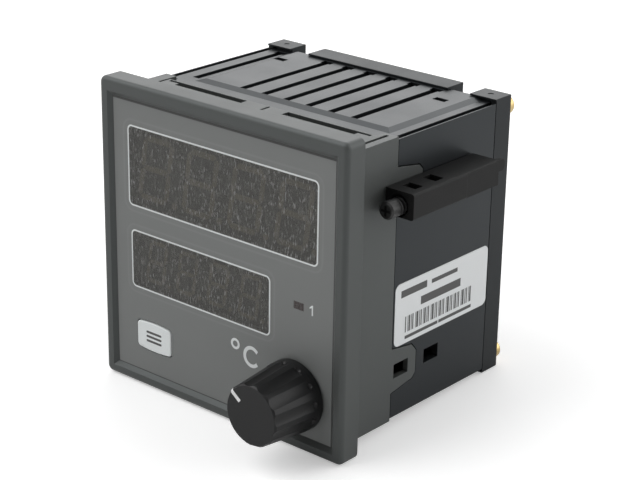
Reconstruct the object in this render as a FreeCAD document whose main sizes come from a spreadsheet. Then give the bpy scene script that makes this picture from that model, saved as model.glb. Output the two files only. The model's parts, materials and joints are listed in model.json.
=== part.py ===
import FreeCAD, Part
import os
import re
import Sketcher
from FreeCAD import Placement, Rotation, Vector

# A 96 x 96 mm panel-mounted PID temperature controller.
# Millimetres.  +X is right, +Y points from the operator into the panel, +Z is up.
# The origin is the centre of the front frame's rear face, which bears on the panel.

SIZES = [
    # front frame
    ("front_half", 48.0, "half of the square front"),
    ("flange_depth", 7.3, "front frame thickness ahead of the panel"),
    ("flange_corner", 2.0, "corner radius of the front"),
    ("front_edge", 1.5, "rounded front edge"),
    ("border_x", 4.6, "frame width beside the printed film"),
    ("border_z", 4.8, "frame width above and below the film"),
    ("film_drop", 0.5, "film opening's centre below the front's centre"),
    ("film_thick", 0.6, "printed film thickness"),
    ("wall_thick", 2.0, "front wall thickness"),
    ("slope_width", 1.3, "width of the slope round the opening"),
    ("slope_depth", 1.1, "depth of that slope"),
    # collar behind the flange
    ("collar_inset_x", 2.8, "collar side inside the front's side"),
    ("collar_inset_z", 4.3, "collar top inside the front's top"),
    ("collar_wall", 1.8, "collar wall"),
    ("collar_end", 18.0, "rear edge of the collar at its sides"),
    ("latch_short", 3.5, "how much shorter the latches are"),
    ("latch_inset_left", 4.25, "left end of the latches from the collar side"),
    ("latch_inset_right", 4.9, "right end of the latches from the collar side"),
    ("slit_length", 5.8, "length of the slits beside a latch"),
    ("slit_width", 0.9, "slit width"),
    ("slit_middle", 0.8, "centre of the slit between the latches"),
    ("catch_rim", 0.5, "strip of latch behind its window"),
    ("catch_length", 2.9, "latch window length"),
    ("catch_inner", 8.0, "latch window end nearest the middle"),
    ("catch_inset", 10.4, "latch window end from the collar side"),
    ("catch_play", 0.2, "play of a catch along its window"),
    ("catch_depth", 1.6, "catch's rear face from its window's front end"),
    ("catch_side_slot", 4.2, "narrow part of a latch window beyond its catch"),
    ("catch_side_length", 1.2, "length of that narrow part"),
    ("groove_inset", 3.0, "corner post groove from the collar side"),
    ("groove_half", 0.6, "half width of that groove"),
    ("groove_depth", 0.6, "depth of that groove"),
    ("groove_front", 11.6, "front end of the groove from the collar end"),
    ("groove_rear", 1.2, "rear end of the groove from the collar end"),
    # side tongues and hooks, measured from the collar end and from the hooks' centre
    ("hook_drop", 15.6, "hooks' centre below the collar top"),
    ("hook_half", 2.25, "half height of the hook windows"),
    ("tongue_length", 11.5, "tongue length"),
    ("tongue_root_in", 7.5, "inner edge of the root"),
    ("tongue_root_out", 6.9, "outer edge of the root"),
    ("tongue_bend_y", 9.4, "where the inner edge turns in"),
    ("tongue_bend_z", 5.9, "inner edge at that turn"),
    ("tongue_tip_in", 3.5, "inner end of the tip"),
    ("tongue_tip_out", 3.4, "outer end of the tip"),
    ("tongue_shoulder_y", 10.0, "where the outer edge turns in"),
    ("tongue_shoulder_z", 5.0, "outer edge at that turn"),
    ("tongue_gap", 0.35, "gap between tongue and case"),
    ("tongue_window_start", 1.1, "front of the tongue window"),
    ("tongue_window_length", 6.7, "length of the tongue window"),
    ("case_window_start", 15.1, "front of the case window from the case front"),
    ("case_window_length", 6.9, "length of the case window"),
    # case
    ("case_inset_x", 0.1, "case side inside the collar side"),
    ("case_inset_z", 0.8, "case top below the collar top"),
    ("case_wall", 2.4, "case wall"),
    ("case_gap", 0.35, "seam between collar, case and cover"),
    ("latch_seam", 0.9, "open seam behind the latches"),
    ("case_rear", 64.0, "rear edge of the case sides"),
    ("plate_overhang", 1.1, "top and bottom plates past the sides"),
    ("lip_gap", 0.15, "gap between case lip and collar"),
    ("lip_wall", 1.2, "lip thickness"),
    ("lip_reach", 8.0, "lip length inside the collar"),
    ("lip_overlap", 2.2, "lip length inside the case"),
    ("catch_height", 1.35, "height of the catches on the lip"),
    ("slot_width", 2.5, "vent slot width"),
    ("slot_margin_front", 4.5, "case front to the vent slots"),
    ("slot_margin_rear", 1.0, "vent slots to the case rear"),
    ("slot_first_inset", 27.2, "first of six slots from the left side"),
    ("slot_pitch", 8.58, "slot pitch"),
    ("slot_single_inset", 7.6, "single slot from the left side"),
    ("slot_head", 3.9, "width of the wide rear end of a slot"),
    ("slot_head_depth", 2.5, "length of that end"),
    ("tab_hole_front", 10.8, "front of the small holes from the case rear"),
    ("tab_hole_rear", 8.3, "rear of the small holes from the case rear"),
    ("tab_hole_inset_left", 11.7, "left small hole from the left side"),
    ("tab_hole_inset_right", 10.9, "right small hole from the right side"),
    ("tab_hole_length", 4.5, "length of a small hole"),
    ("edge_groove_far", 2.3, "edge groove's inner side from the case side"),
    ("edge_groove_near", 0.4, "edge groove's outer side from the case side"),
    ("edge_groove_depth", 1.3, "edge groove depth"),
    ("field_rise", 0.7, "height of the vented field above the border"),
    ("field_slope", 3.0, "width of the slope round the vented field"),
    ("field_margin_front", 1.5, "case front to the foot of the slope"),
    ("field_margin_left", 9.0, "foot of the slope from the left side"),
    ("field_margin_right", 4.5, "foot of the slope from the right side"),
    ("rib_reach", 1.7, "guide rib height off the wall"),
    ("rib_thick", 1.2, "thickness of a guide rib"),
    ("rib_gap", 0.1, "gap between rib and board"),
    ("boss_length", 14.0, "corner screw boss length"),
    ("boss_width", 7.3, "corner boss width"),
    ("boss_height", 6.1, "corner boss height"),
    # rear cover
    ("cover_depth", 7.7, "rear cover behind the case sides"),
    ("cover_plate", 2.0, "cover plate thickness"),
    ("cover_plate_drop", 2.6, "cover plate edge below the case top"),
    ("cover_side_wall", 2.0, "thickness of the cover's sides"),
    ("cover_rise", 1.3, "cover corners above the case top"),
    ("cover_clear", 0.1, "gap under lugs and bar"),
    ("lug_width", 9.5, "corner lug width"),
    ("lug_depth", 6.9, "corner lug depth below the case top"),
    ("lug_dimple_inset", 4.7, "dimple from the side"),
    ("lug_dimple_back", 3.8, "dimple from the rear face"),
    ("lug_dimple_radius", 0.9, "dimple radius"),
    ("lug_dimple_depth", 0.15, "dimple depth"),
    ("bar_inset", 17.6, "middle bar's end from the side"),
    ("bar_reach", 0.4, "middle bar over the case"),
    ("bar_rise", 1.45, "middle bar above the case top"),
    ("cover_screw_inset_x", 3.3, "cover screws from the side"),
    ("cover_screw_inset_z", 2.9, "cover screws from the case top"),
    ("cover_screw_head", 3.0, "cover screw head radius"),
    ("cover_screw_head_length", 2.9, "cover screw head length"),
    ("cover_screw_dome", 0.8, "rounding of the screw head"),
    ("cover_screw_shank", 1.45, "cover screw shank radius"),
    ("cover_screw_length", 17.7, "cover screw shank length"),
    ("cover_screw_hole", 1.7, "clearance hole radius in the cover"),
    ("cross_half", 1.7, "half length of the cross recess"),
    ("cross_slot", 0.35, "half width of the cross recess"),
    ("cross_depth", 1.2, "depth of the cross recess"),
    # windows, key and status light
    ("window_inset", 6.55, "upper window from the film's side"),
    ("window_drop", 8.2, "upper window from the film's top"),
    ("window_height", 24.3, "upper window height"),
    ("small_inset", 7.3, "lower window from the film's left side"),
    ("small_drop", 8.5, "lower window below the upper one"),
    ("small_inset_right", 24.1, "lower window from the film's right side"),
    ("small_height", 17.6, "lower window height"),
    ("window_corner", 1.2, "window corner radius"),
    ("filter_sink", 0.05, "filters behind the film's face"),
    ("filter_step", 0.7, "filter pocket in the wall"),
    ("ledge", 0.6, "ledge that carries a filter"),
    ("module_gap", 0.3, "gap between digit module and wall"),
    ("module_back", 0.2, "gap between digit module and filter"),
    ("status_inset", 14.8, "status window from the film's right side"),
    ("status_width", 3.8, "status window width"),
    ("status_drop", 4.15, "status window below the lower window's top"),
    ("status_height", 2.35, "status window height"),
    ("status_rim", 0.8, "rim of the status window behind the wall"),
    ("status_rim_thick", 0.6, "thickness of that rim"),
    ("lamp_gap", 0.3, "gap round the status lamp"),
    ("key_inset", 16.0, "key centre from the film's left side"),
    ("control_rise", 12.4, "key and knob centre above the film's bottom"),
    ("key_half_x", 7.15, "key half width"),
    ("key_half_z", 4.7, "key half height"),
    ("key_bow", 43.0, "radius of the key's bowed long sides"),
    ("key_corner", 1.2, "key corner radius"),
    ("key_soft", 0.4, "rounding of the key's front edge"),
    ("key_proud", 0.35, "key ahead of the film"),
    ("key_gap", 0.3, "gap round and behind the key"),
    ("key_flange", 0.8, "overhang of the key's flange"),
    ("key_flange_thick", 1.0, "thickness of that flange"),
    ("plunger_radius", 1.75, "tact switch plunger radius"),
    ("plunger_fit", 0.05, "plunger running fit"),
    ("plunger_lift", 1.7, "inner end of the plunger from the board"),
    ("switch_half", 3.0, "tact switch half size"),
    ("switch_high", 3.5, "tact switch height"),
    ("switch_floor", 0.9, "bottom of the plunger bore from the board"),
    # knob and potentiometer
    ("knob_inset", 13.8, "knob centre from the film's right side"),
    ("knob_gap", 0.5, "gap between knob and film"),
    ("knob_length", 18.3, "knob length"),
    ("knob_skirt_length", 1.9, "skirt length"),
    ("knob_skirt_radius", 10.9, "skirt radius"),
    ("knob_taper", 1.5, "how much the grip narrows towards its front"),
    ("knob_bevel", 0.5, "front bevel"),
    ("knob_wall", 1.6, "knob wall at the skirt"),
    ("knob_hollow_depth", 5.3, "depth of the hollow underneath"),
    ("knob_hub_radius", 5.0, "hub radius"),
    ("knob_hub_depth", 2.5, "hub end inside the hollow"),
    ("knob_end_wall", 5.0, "solid front of the knob"),
    ("flute_radius", 6.0, "grip flute radius"),
    ("flute_depth", 0.4, "grip flute depth"),
    ("flute_start", 1.3, "end of a flute from the skirt"),
    ("flute_dimple", 1.0, "radius of the dimple at a flute's end"),
    ("flute_dimple_depth", 0.55, "depth of that dimple"),
    ("pointer_width", 1.2, "pointer line width"),
    ("pointer_depth", 0.4, "pointer line depth"),
    ("pointer_wrap", 0.9, "pointer line along the grip"),
    ("pointer_start", 5.2, "inner end of the pointer line"),
    ("pointer_angle", 142.7, "pointer position, from +X towards +Z"),
    ("shaft_radius", 3.0, "potentiometer shaft radius"),
    ("shaft_fit", 0.05, "shaft running fit"),
    ("shaft_lift", 2.3, "inner end of the shaft from the board"),
    ("shaft_floor_lift", 1.9, "bottom of the shaft bore from the board"),
    ("bushing_radius", 3.5, "threaded bushing radius"),
    ("bushing_gap", 0.3, "gap between bushing and knob hub"),
    ("pot_radius", 8.5, "potentiometer body radius"),
    ("nut_flats", 10.0, "nut width across flats"),
    ("nut_thick", 2.0, "nut thickness"),
    ("washer_radius", 6.0, "washer radius"),
    ("washer_thick", 0.5, "washer thickness"),
    # boards
    ("board_thick", 1.6, "circuit board thickness"),
    ("display_board_depth", 6.9, "display board behind the front wall"),
    ("display_board_inset_x", 2.4, "display board's side from the collar side"),
    ("display_board_inset_z", 2.5, "display board's top from the collar top"),
    ("post_inset_x", 5.2, "board posts from the collar side"),
    ("post_inset_z", 5.5, "board posts from the collar top"),
    ("post_radius", 2.4, "display board post radius"),
    ("post_pilot", 1.1, "display board screw and pilot radius"),
    ("post_head", 2.1, "display board screw head radius"),
    ("post_head_length", 1.5, "display board screw head length"),
    ("board_side_gap", 0.9, "inner boards from the case wall"),
    ("board_start", 7.1, "inner boards behind the display board"),
    ("board_overhang", 2.0, "inner boards past the case sides"),
    ("board_drop", 20.9, "inner boards' faces nearest the middle, below the case top"),
    ("header_half", 15.0, "half width of the headers"),
    ("header_high", 2.5, "header height and overlap"),
    # terminals
    ("pole_pitch", 5.08, "terminal pitch"),
    ("block_depth", 12.9, "terminal block depth"),
    ("block_sink", 0.3, "terminal block inside the cover's face"),
    ("block_high", 12.0, "terminal block height"),
    ("block_gap", 0.3, "gap between terminal block and cover"),
    ("well_radius", 1.9, "screw well radius"),
    ("well_depth", 5.4, "screw well depth"),
    ("well_height", 8.0, "screw well centre above the board"),
    ("mouth_height", 3.2, "wire mouth centre above the board"),
    ("mouth_half", 1.6, "wire mouth half size"),
    ("mouth_depth", 9.4, "wire mouth depth"),
    ("clamp_head", 1.8, "terminal screw head radius"),
    ("clamp_head_length", 1.8, "terminal screw head length"),
    ("clamp_shank", 1.2, "terminal screw shank radius"),
    ("clamp_length", 5.0, "terminal screw shank length"),
    # parts on the inner boards
    ("core_x", -21.0, "transformer centre, sideways"),
    ("core_half", 13.0, "transformer core half width"),
    ("core_front", 24.0, "front of the core from the case rear"),
    ("core_depth", 14.0, "core depth"),
    ("core_high", 24.0, "core height"),
    ("coil_half", 9.0, "coil half width"),
    ("coil_reach", 4.0, "coil ahead of and behind the core"),
    ("coil_margin", 3.0, "core height beyond the coil"),
    ("relay_x", 20.5, "relay centre, sideways"),
    ("relay_half", 14.5, "relay half width"),
    ("relay_front", 20.0, "front of the relay from the case rear"),
    ("relay_depth", 12.7, "relay depth"),
    ("relay_high", 15.7, "relay height"),
    ("can_radius", 5.0, "filter capacitor radius"),
    ("can_high", 14.0, "filter capacitor height"),
    ("can_x", -15.0, "middle of the capacitor pair"),
    ("can_spread", 7.0, "capacitors each side of that"),
    ("small_row", 12.0, "capacitors and fuse behind the boards' front"),
    ("fuse_x", 10.0, "fuse centre, sideways"),
    ("fuse_radius", 4.2, "fuse radius"),
    ("fuse_high", 7.7, "fuse height"),
    ("varistor_x", 26.0, "varistor centre, sideways"),
    ("varistor_radius", 5.0, "varistor radius"),
    ("varistor_thick", 3.5, "varistor thickness"),
    ("varistor_lift", 2.0, "varistor above the board"),
    ("lead_radius", 0.4, "varistor lead radius"),
    ("lead_spread", 2.5, "varistor leads each side of its centre"),
    ("chip_thick", 1.6, "chip thickness"),
    ("controller_x", -1.0, "microcontroller centre, sideways"),
    ("controller_half", 7.0, "microcontroller half size"),
    ("converter_x", 23.0, "converter chip centre, sideways"),
    ("converter_half_x", 5.0, "converter chip half width"),
    ("converter_half_y", 3.5, "converter chip half depth"),
    ("chip_row", 25.0, "chips behind the boards' front"),
    # fixing brackets
    ("bracket_gap", 0.3, "gap between bracket and collar"),
    ("bracket_width", 9.8, "bracket width"),
    ("bracket_start", 5.4, "bracket front ahead of the collar end"),
    ("bracket_length", 40.3, "bracket length"),
    ("bracket_below", 5.3, "bracket underside below the hooks' centre"),
    ("bracket_above", 2.45, "bracket top above the hooks' centre"),
    ("bracket_step", 24.6, "where the outer face steps in"),
    ("bracket_step_depth", 0.3, "depth of that step"),
    ("bracket_round", 0.8, "rounded long edges of a bracket"),
    ("tab_length", 3.0, "grip tab length"),
    ("tab_thick", 1.5, "grip tab thickness"),
    ("tab_low", 1.1, "tab's lower edge below the hooks' centre"),
    ("tab_high", 2.4, "tab's upper edge above the hooks' centre"),
    ("tab_round", 1.4, "rounded end of the tab"),
    ("screw_offset", 4.7, "clamp screw axis from the bracket's inner face"),
    ("screw_drop", 1.9, "clamp screw axis below the hooks' centre"),
    ("screw_radius", 2.6, "clamp screw radius"),
    ("screw_fit", 0.05, "clamp screw running fit"),
    ("screw_reach", 6.0, "clamp screw ahead of the bracket"),
    ("screw_sink", 1.3, "clamp screw inside the bracket's rear"),
    ("screw_point", 0.5, "chamfer at the screw's ends"),
    ("screw_slot", 0.8, "clamp screw slot width"),
    ("screw_slot_depth", 1.2, "clamp screw slot depth"),
    ("ring_radius", 3.2, "counterbore radius at the bracket's front"),
    ("ring_depth", 1.0, "counterbore depth"),
    ("sight_near", 2.3, "screw windows, inner side from the screw axis"),
    ("sight_far", 2.4, "screw windows, outer side from the screw axis"),
    ("sight_one", 4.0, "first screw window from the bracket's front"),
    ("sight_one_length", 3.4, "length of the first screw window"),
    ("sight_two", 13.1, "second screw window from the bracket's front"),
    ("sight_two_length", 3.8, "length of the second screw window"),
    ("hook_play", 0.3, "play between hook and window end"),
    ("hook_side", 0.3, "play beside a hook"),
    ("hook_neck", 4.0, "hook neck length"),
    ("hook_toe", 2.0, "hook toe length"),
    ("toe_thick", 1.5, "hook toe thickness"),
    # side label
    ("label_thick", 0.15, "side label thickness"),
    ("label_start", 0.5, "side label behind the case front"),
    ("label_stop", 0.3, "side label ahead of the case rear"),
    ("label_top", 1.2, "side label below the middle"),
    ("label_corner", 2.0, "side label corner radius"),
]

# Places that follow from the sizes above.
DERIVED = [
    ("film_half_x", "front_half - border_x"),
    ("film_half_z", "front_half - border_z"),
    ("film_high", "film_half_z - film_drop"),
    ("film_low", "-film_half_z - film_drop"),
    ("film_face", "slope_depth - flange_depth"),
    ("film_back", "film_face + film_thick"),
    ("wall_back", "film_back + wall_thick"),
    ("collar_half_x", "front_half - collar_inset_x"),
    ("collar_half_z", "front_half - collar_inset_z"),
    ("latch_end", "collar_end - latch_short"),
    ("latch_left", "latch_inset_left - collar_half_x"),
    ("latch_right", "collar_half_x - latch_inset_right"),
    ("slit_start", "latch_end - slit_length"),
    ("catch_stop", "latch_end - catch_rim"),
    ("catch_start", "catch_stop - catch_length"),
    ("catch_outer", "collar_half_x - catch_inset"),
    ("catch_far", "catch_outer + catch_side_slot"),
    ("post_groove", "collar_half_x - groove_inset"),
    ("hook_centre", "collar_half_z - hook_drop"),
    ("hook_window_low", "hook_centre - hook_half"),
    ("hook_window_high", "hook_centre + hook_half"),
    ("tongue_tip", "collar_end + tongue_length"),
    ("tongue_low", "hook_centre - tongue_root_in"),
    ("tongue_high", "hook_centre + tongue_root_out"),
    ("hook_front", "collar_end + tongue_window_start"),
    ("hook_rear", "hook_front + tongue_window_length"),
    ("case_half_x", "collar_half_x - case_inset_x"),
    ("case_half_z", "collar_half_z - case_inset_z"),
    ("case_front", "collar_end + case_gap"),
    ("case_latch_front", "latch_end + latch_seam"),
    ("case_hook_front", "case_front + case_window_start"),
    ("case_hook_rear", "case_hook_front + case_window_length"),
    ("plate_rear", "case_rear + plate_overhang"),
    ("plate_half", "case_half_x - case_wall"),
    ("lip_front", "collar_end - lip_reach"),
    ("lip_rear", "collar_end + lip_overlap"),
    ("slot_front", "case_front + slot_margin_front"),
    ("slot_rear", "case_rear - slot_margin_rear"),
    ("slot_first", "slot_first_inset - case_half_x"),
    ("slot_single", "slot_single_inset - case_half_x"),
    ("boss_front", "case_rear - boss_length"),
    ("cover_face", "case_rear + cover_depth"),
    ("cover_side_front", "case_rear + case_gap"),
    ("cover_plate_half_z", "case_half_z - cover_plate_drop"),
    ("cover_half_z", "case_half_z + cover_rise"),
    ("field_half_z", "case_half_z + field_rise"),
    ("cover_clear_z", "field_half_z + cover_clear"),
    ("lug_inner_x", "case_half_x - lug_width"),
    ("bar_half_x", "case_half_x - bar_inset"),
    ("bar_half_z", "case_half_z + bar_rise"),
    ("cover_screw_x", "case_half_x - cover_screw_inset_x"),
    ("cover_screw_z", "case_half_z - cover_screw_inset_z"),
    ("cover_screw_end", "cover_face - cover_screw_length"),
    ("window_half_x", "film_half_x - window_inset"),
    ("window_high", "film_high - window_drop"),
    ("window_low", "window_high - window_height"),
    ("small_left", "small_inset - film_half_x"),
    ("small_right", "film_half_x - small_inset_right"),
    ("small_high", "window_low - small_drop"),
    ("small_low", "small_high - small_height"),
    ("filter_face", "film_face + filter_sink"),
    ("filter_back", "film_back + filter_step"),
    ("module_face", "filter_back + module_back"),
    ("status_left", "film_half_x - status_inset"),
    ("status_right", "status_left + status_width"),
    ("status_high", "small_high - status_drop"),
    ("status_low", "status_high - status_height"),
    ("display_board_front", "wall_back + display_board_depth"),
    ("display_board_back", "display_board_front + board_thick"),
    ("display_board_half_x", "collar_half_x - display_board_inset_x"),
    ("display_board_half_z", "collar_half_z - display_board_inset_z"),
    ("post_x", "collar_half_x - post_inset_x"),
    ("post_z", "collar_half_z - post_inset_z"),
    ("key_x", "key_inset - film_half_x"),
    ("key_z", "film_low + control_rise"),
    ("key_face", "film_face - key_proud"),
    ("key_flange_front", "wall_back + key_gap"),
    ("key_flange_back", "key_flange_front + key_flange_thick"),
    ("plunger_end", "display_board_front - plunger_lift"),
    ("switch_front", "display_board_front - switch_high"),
    ("knob_x", "film_half_x - knob_inset"),
    ("knob_z", "film_low + control_rise"),
    ("knob_base", "film_face - knob_gap"),
    ("knob_face", "knob_base - knob_length"),
    ("knob_skirt", "knob_base - knob_skirt_length"),
    ("knob_edge", "knob_face + knob_bevel"),
    ("knob_edge_radius", "knob_skirt_radius - knob_taper"),
    ("knob_face_radius", "knob_edge_radius - knob_bevel"),
    ("pointer_end", "knob_edge + pointer_wrap"),
    ("pointer_end_radius", "knob_edge_radius + pointer_wrap * knob_taper / (knob_skirt - knob_edge)"),
    ("knob_hollow_radius", "knob_skirt_radius - knob_wall"),
    ("knob_hollow", "knob_base - knob_hollow_depth"),
    ("knob_hub", "knob_base - knob_hub_depth"),
    ("knob_bore", "knob_face + knob_end_wall"),
    ("flute_end", "knob_skirt - flute_start"),
    ("shaft_end", "display_board_front - shaft_lift"),
    ("shaft_floor", "display_board_front - shaft_floor_lift"),
    ("bushing_end", "knob_hub + bushing_gap"),
    ("board_half_x", "case_half_x - case_wall - board_side_gap"),
    ("board_front", "display_board_back + board_start"),
    ("board_rear", "case_rear + board_overhang"),
    ("board_level", "case_half_z - board_drop"),
    ("board_outside", "board_level + board_thick"),
    ("block_rear", "cover_face - block_sink"),
    ("block_front", "block_rear - block_depth"),
    ("well_floor", "block_rear - well_depth"),
    ("mouth_floor", "block_rear - mouth_depth"),
    ("clamp_end", "well_floor - clamp_length"),
    ("bracket_inner", "collar_half_x + bracket_gap"),
    ("bracket_outer", "bracket_inner + bracket_width"),
    ("bracket_front", "collar_end - bracket_start"),
    ("bracket_rear", "bracket_front + bracket_length"),
    ("bracket_low", "hook_centre - bracket_below"),
    ("bracket_high", "hook_centre + bracket_above"),
    ("screw_x", "bracket_inner + screw_offset"),
    ("screw_z", "hook_centre - screw_drop"),
    ("screw_tip", "bracket_front - screw_reach"),
    ("screw_tail", "bracket_rear - screw_sink"),
]

POLES = 12
VENTS = 6
FLUTES = 12

PLACES = dict(DERIVED)
NAMES = [name for name, value, note in SIZES]
ALIAS = re.compile(r"\b(" + "|".join(NAMES) + r")\b")
PLACE = re.compile(r"\b(" + "|".join(PLACES) + r")\b")

doc = FreeCAD.newDocument("temperature_controller")
sheet = doc.addObject("Spreadsheet::Sheet", "sizes")
for row, (name, value, note) in enumerate(SIZES, start=1):
    sheet.set(f"A{row}", name)
    sheet.set(f"B{row}", str(value))
    sheet.setAlias(f"B{row}", name)
    sheet.set(f"C{row}", note)
doc.recompute()


def bound(text):
    """Turn size and place names into references to the sheet."""
    text = str(text)
    while PLACE.search(text):
        text = PLACE.sub(lambda match: f"({PLACES[match.group(1)]})", text)
    return ALIAS.sub(r"sizes.\1", text)


def size(text):
    """Value of an expression made of size names, as the sheet has it."""
    probe = doc.addObject("Part::Vertex", "probe")
    probe.setExpression("X", bound(text))
    doc.recompute()
    value = probe.X.Value
    doc.removeObject(probe.Name)
    return value


# ---------------------------------------------------------------- primitives

TURNS = {
    "x": Rotation(Vector(0, 1, 0), 90),
    "y": Rotation(Vector(1, 0, 0), -90),
    "z": Rotation(),
}


def put(obj, base):
    """Bind an object's position to three expressions."""
    for letter, text in zip("xyz", base):
        obj.setExpression(f"Placement.Base.{letter}", bound(text))


def block(name, x, y, z):
    """A box between two planes in each direction."""
    box = doc.addObject("Part::Box", name)
    for side, (low, high) in (("Length", x), ("Width", y), ("Height", z)):
        box.setExpression(side, bound(f"({high}) - ({low})"))
    put(box, (x[0], y[0], z[0]))
    return box


def base_point(axis, centre, start):
    first, second = centre
    return {
        "x": (start, first, second),
        "y": (first, start, second),
        "z": (first, second, start),
    }[axis]


def rod(name, axis, radius, centre, span):
    """A cylinder along an axis; centre holds the other two coordinates."""
    cylinder = doc.addObject("Part::Cylinder", name)
    cylinder.Placement = Placement(Vector(), TURNS[axis])
    cylinder.setExpression("Radius", bound(radius))
    cylinder.setExpression("Height", bound(f"({span[1]}) - ({span[0]})"))
    put(cylinder, base_point(axis, centre, span[0]))
    return cylinder


def fuse(name, *shapes):
    joined = doc.addObject("Part::MultiFuse", name)
    joined.Shapes = list(shapes)
    return joined


def common(name, *shapes):
    shared = doc.addObject("Part::MultiCommon", name)
    shared.Shapes = list(shapes)
    return shared


def cut(name, base, *tools):
    left = doc.addObject("Part::Cut", name)
    left.Base = base
    left.Tool = tools[0] if len(tools) == 1 else fuse(name + "_tools", *tools)
    return left


def mirror(name, source, normal):
    twin = doc.addObject("Part::Mirroring", name)
    twin.Source = source
    twin.Normal = normal
    return twin


ACROSS = Vector(1, 0, 0)
UPWARD = Vector(0, 0, 1)


def both(name, source, normal):
    """A shape and its mirror image."""
    return fuse(name, source, mirror(name + "_twin", source, normal))


def four(name, source):
    """A shape mirrored left to right and top to bottom."""
    return both(name, both(name + "_pair", source, ACROSS), UPWARD)


def span_of(edge, axis):
    box = edge.BoundBox
    return {
        "x": (box.XMin, box.XMax),
        "y": (box.YMin, box.YMax),
        "z": (box.ZMin, box.ZMax),
    }[axis]


def lies_at(edge, axis, value):
    """True when the whole edge is in the plane axis = value."""
    return all(abs(end - value) < 1e-3 for end in span_of(edge, axis))


def runs_along(edge, axis):
    """True when the edge is straight and parallel to the axis."""
    others = [other for other in "xyz" if other != axis]
    return all(span_of(edge, o)[1] - span_of(edge, o)[0] < 1e-3 for o in others)


def round_edges(name, base, radius, wanted):
    """Round the edges of a shape that pass the test."""
    doc.recompute()
    value = size(radius)
    rounded = doc.addObject("Part::Fillet", name)
    rounded.Base = base
    rounded.Edges = [
        (number, value, value)
        for number, edge in enumerate(base.Shape.Edges, start=1)
        if wanted(edge)
    ]
    return rounded


def rounded_block(name, x, y, z, radius, axis):
    """A box whose four edges along one axis are rounded."""
    box = block(name + "_box", x, y, z)
    return round_edges(name, box, radius, lambda edge: runs_along(edge, axis))


def outline_sketch(sketch, points):
    """Fill a sketch with a closed outline; every corner is bound to the sheet."""
    values = [(size(u), size(v)) for u, v in points]
    count = len(points)
    for index in range(count):
        start = Vector(*values[index], 0)
        end = Vector(*values[(index + 1) % count], 0)
        sketch.addGeometry(Part.LineSegment(start, end))
    for index in range(count):
        sketch.addConstraint(Sketcher.Constraint("Coincident", index, 2, (index + 1) % count, 1))
    for index, texts in enumerate(points):
        for kind, text, value in zip(("DistanceX", "DistanceY"), texts, values[index]):
            number = sketch.addConstraint(Sketcher.Constraint(kind, -1, 1, index, 1, value))
            sketch.setExpression(f"Constraints[{number}]", bound(text))


SKETCH_TURNS = {
    "x": Rotation(Vector(0, 1, 0), Vector(0, 0, 1), Vector(1, 0, 0), "XYZ"),
    "y": Rotation(Vector(0, 0, 1), Vector(1, 0, 0), Vector(0, 1, 0), "XYZ"),
}


def prism(name, axis, points, span):
    """A prism along x (points are y, z) or along y (points are z, x)."""
    sketch = doc.addObject("Sketcher::SketchObject", name + "_outline")
    sketch.Placement = Placement(Vector(), SKETCH_TURNS[axis])
    outline_sketch(sketch, points)
    sketch.setExpression(f"Placement.Base.{axis}", bound(span[0]))
    solid = doc.addObject("Part::Extrusion", name)
    solid.Base = sketch
    solid.DirMode = "Normal"
    solid.Solid = True
    solid.setExpression("LengthFwd", bound(f"({span[1]}) - ({span[0]})"))
    return solid


def plane_of(body, role):
    return next(item for item in body.Origin.OriginFeatures if item.Role == role)


def body_sketch(body, name, points):
    """A sketch in a body's XY plane."""
    sketch = body.newObject("Sketcher::SketchObject", name)
    sketch.AttachmentSupport = (plane_of(body, "XY_Plane"), [""])
    sketch.MapMode = "FlatFace"
    outline_sketch(sketch, points)
    return sketch


def turned(body, name, points):
    """Turn a half section (radius, y) about the body's Y axis."""
    revolution = body.newObject("PartDesign::Revolution", name)
    revolution.Profile = body_sketch(body, name + "_section", points)
    revolution.ReferenceAxis = (revolution.Profile[0], ["V_Axis"])
    revolution.Angle = 360
    return revolution


# --------------------------------------------------------------- front frame

def key_outline(name, grow, y):
    """The key's outline, with bowed long sides, grown by a gap."""
    half_x = f"key_half_x + {grow}"
    half_z = f"key_half_z + {grow}"
    box = block(
        name + "_box",
        (f"key_x - ({half_x})", f"key_x + {half_x}"),
        y,
        (f"key_z - ({half_z})", f"key_z + {half_z}"),
    )
    bows = [
        rod(
            f"{name}_bow_{side}",
            "y",
            f"key_bow + {grow}",
            ("key_x", f"key_z {sign} (key_half_z - key_bow)"),
            y,
        )
        for side, sign in (("top", "+"), ("bottom", "-"))
    ]
    shape = common(name + "_bowed", box, *bows)
    return round_edges(name, shape, "key_corner", lambda edge: runs_along(edge, "y"))


UPPER_X = ("-window_half_x", "window_half_x")
UPPER_Z = ("window_low", "window_high")
LOWER_X = ("small_left", "small_right")
LOWER_Z = ("small_low", "small_high")
STATUS_X = ("status_left", "status_right")
STATUS_Z = ("status_low", "status_high")


def inset(span, amount):
    return (f"({span[0]}) + {amount}", f"({span[1]}) - ({amount})")


def window_cutters(name, x, z):
    """Pocket for a display filter and the smaller opening behind it."""
    depth = ("film_back - 1", "filter_back")
    pocket = rounded_block(name + "_pocket", x, depth, z, "window_corner", "y")
    through = ("film_back", "wall_back + 1")
    opening = block(name + "_opening", inset(x, "ledge"), through, inset(z, "ledge"))
    return [pocket, opening]


def tongue(name, grow, x):
    """One side tongue in the upper right quarter, grown by a gap."""
    points = [
        ("collar_end - 1", f"tongue_low - {grow}"),
        (f"collar_end + tongue_bend_y + 0.5 * {grow}", f"hook_centre - tongue_bend_z - {grow}"),
        (f"tongue_tip + {grow}", f"hook_centre - tongue_tip_in - 0.4 * {grow}"),
        (f"tongue_tip + {grow}", f"hook_centre + tongue_tip_out + 0.4 * {grow}"),
        (f"collar_end + tongue_shoulder_y + 0.5 * {grow}", f"hook_centre + tongue_shoulder_z + {grow}"),
        ("collar_end - 1", f"tongue_high + {grow}"),
    ]
    return prism(name, "x", points, x)


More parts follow.
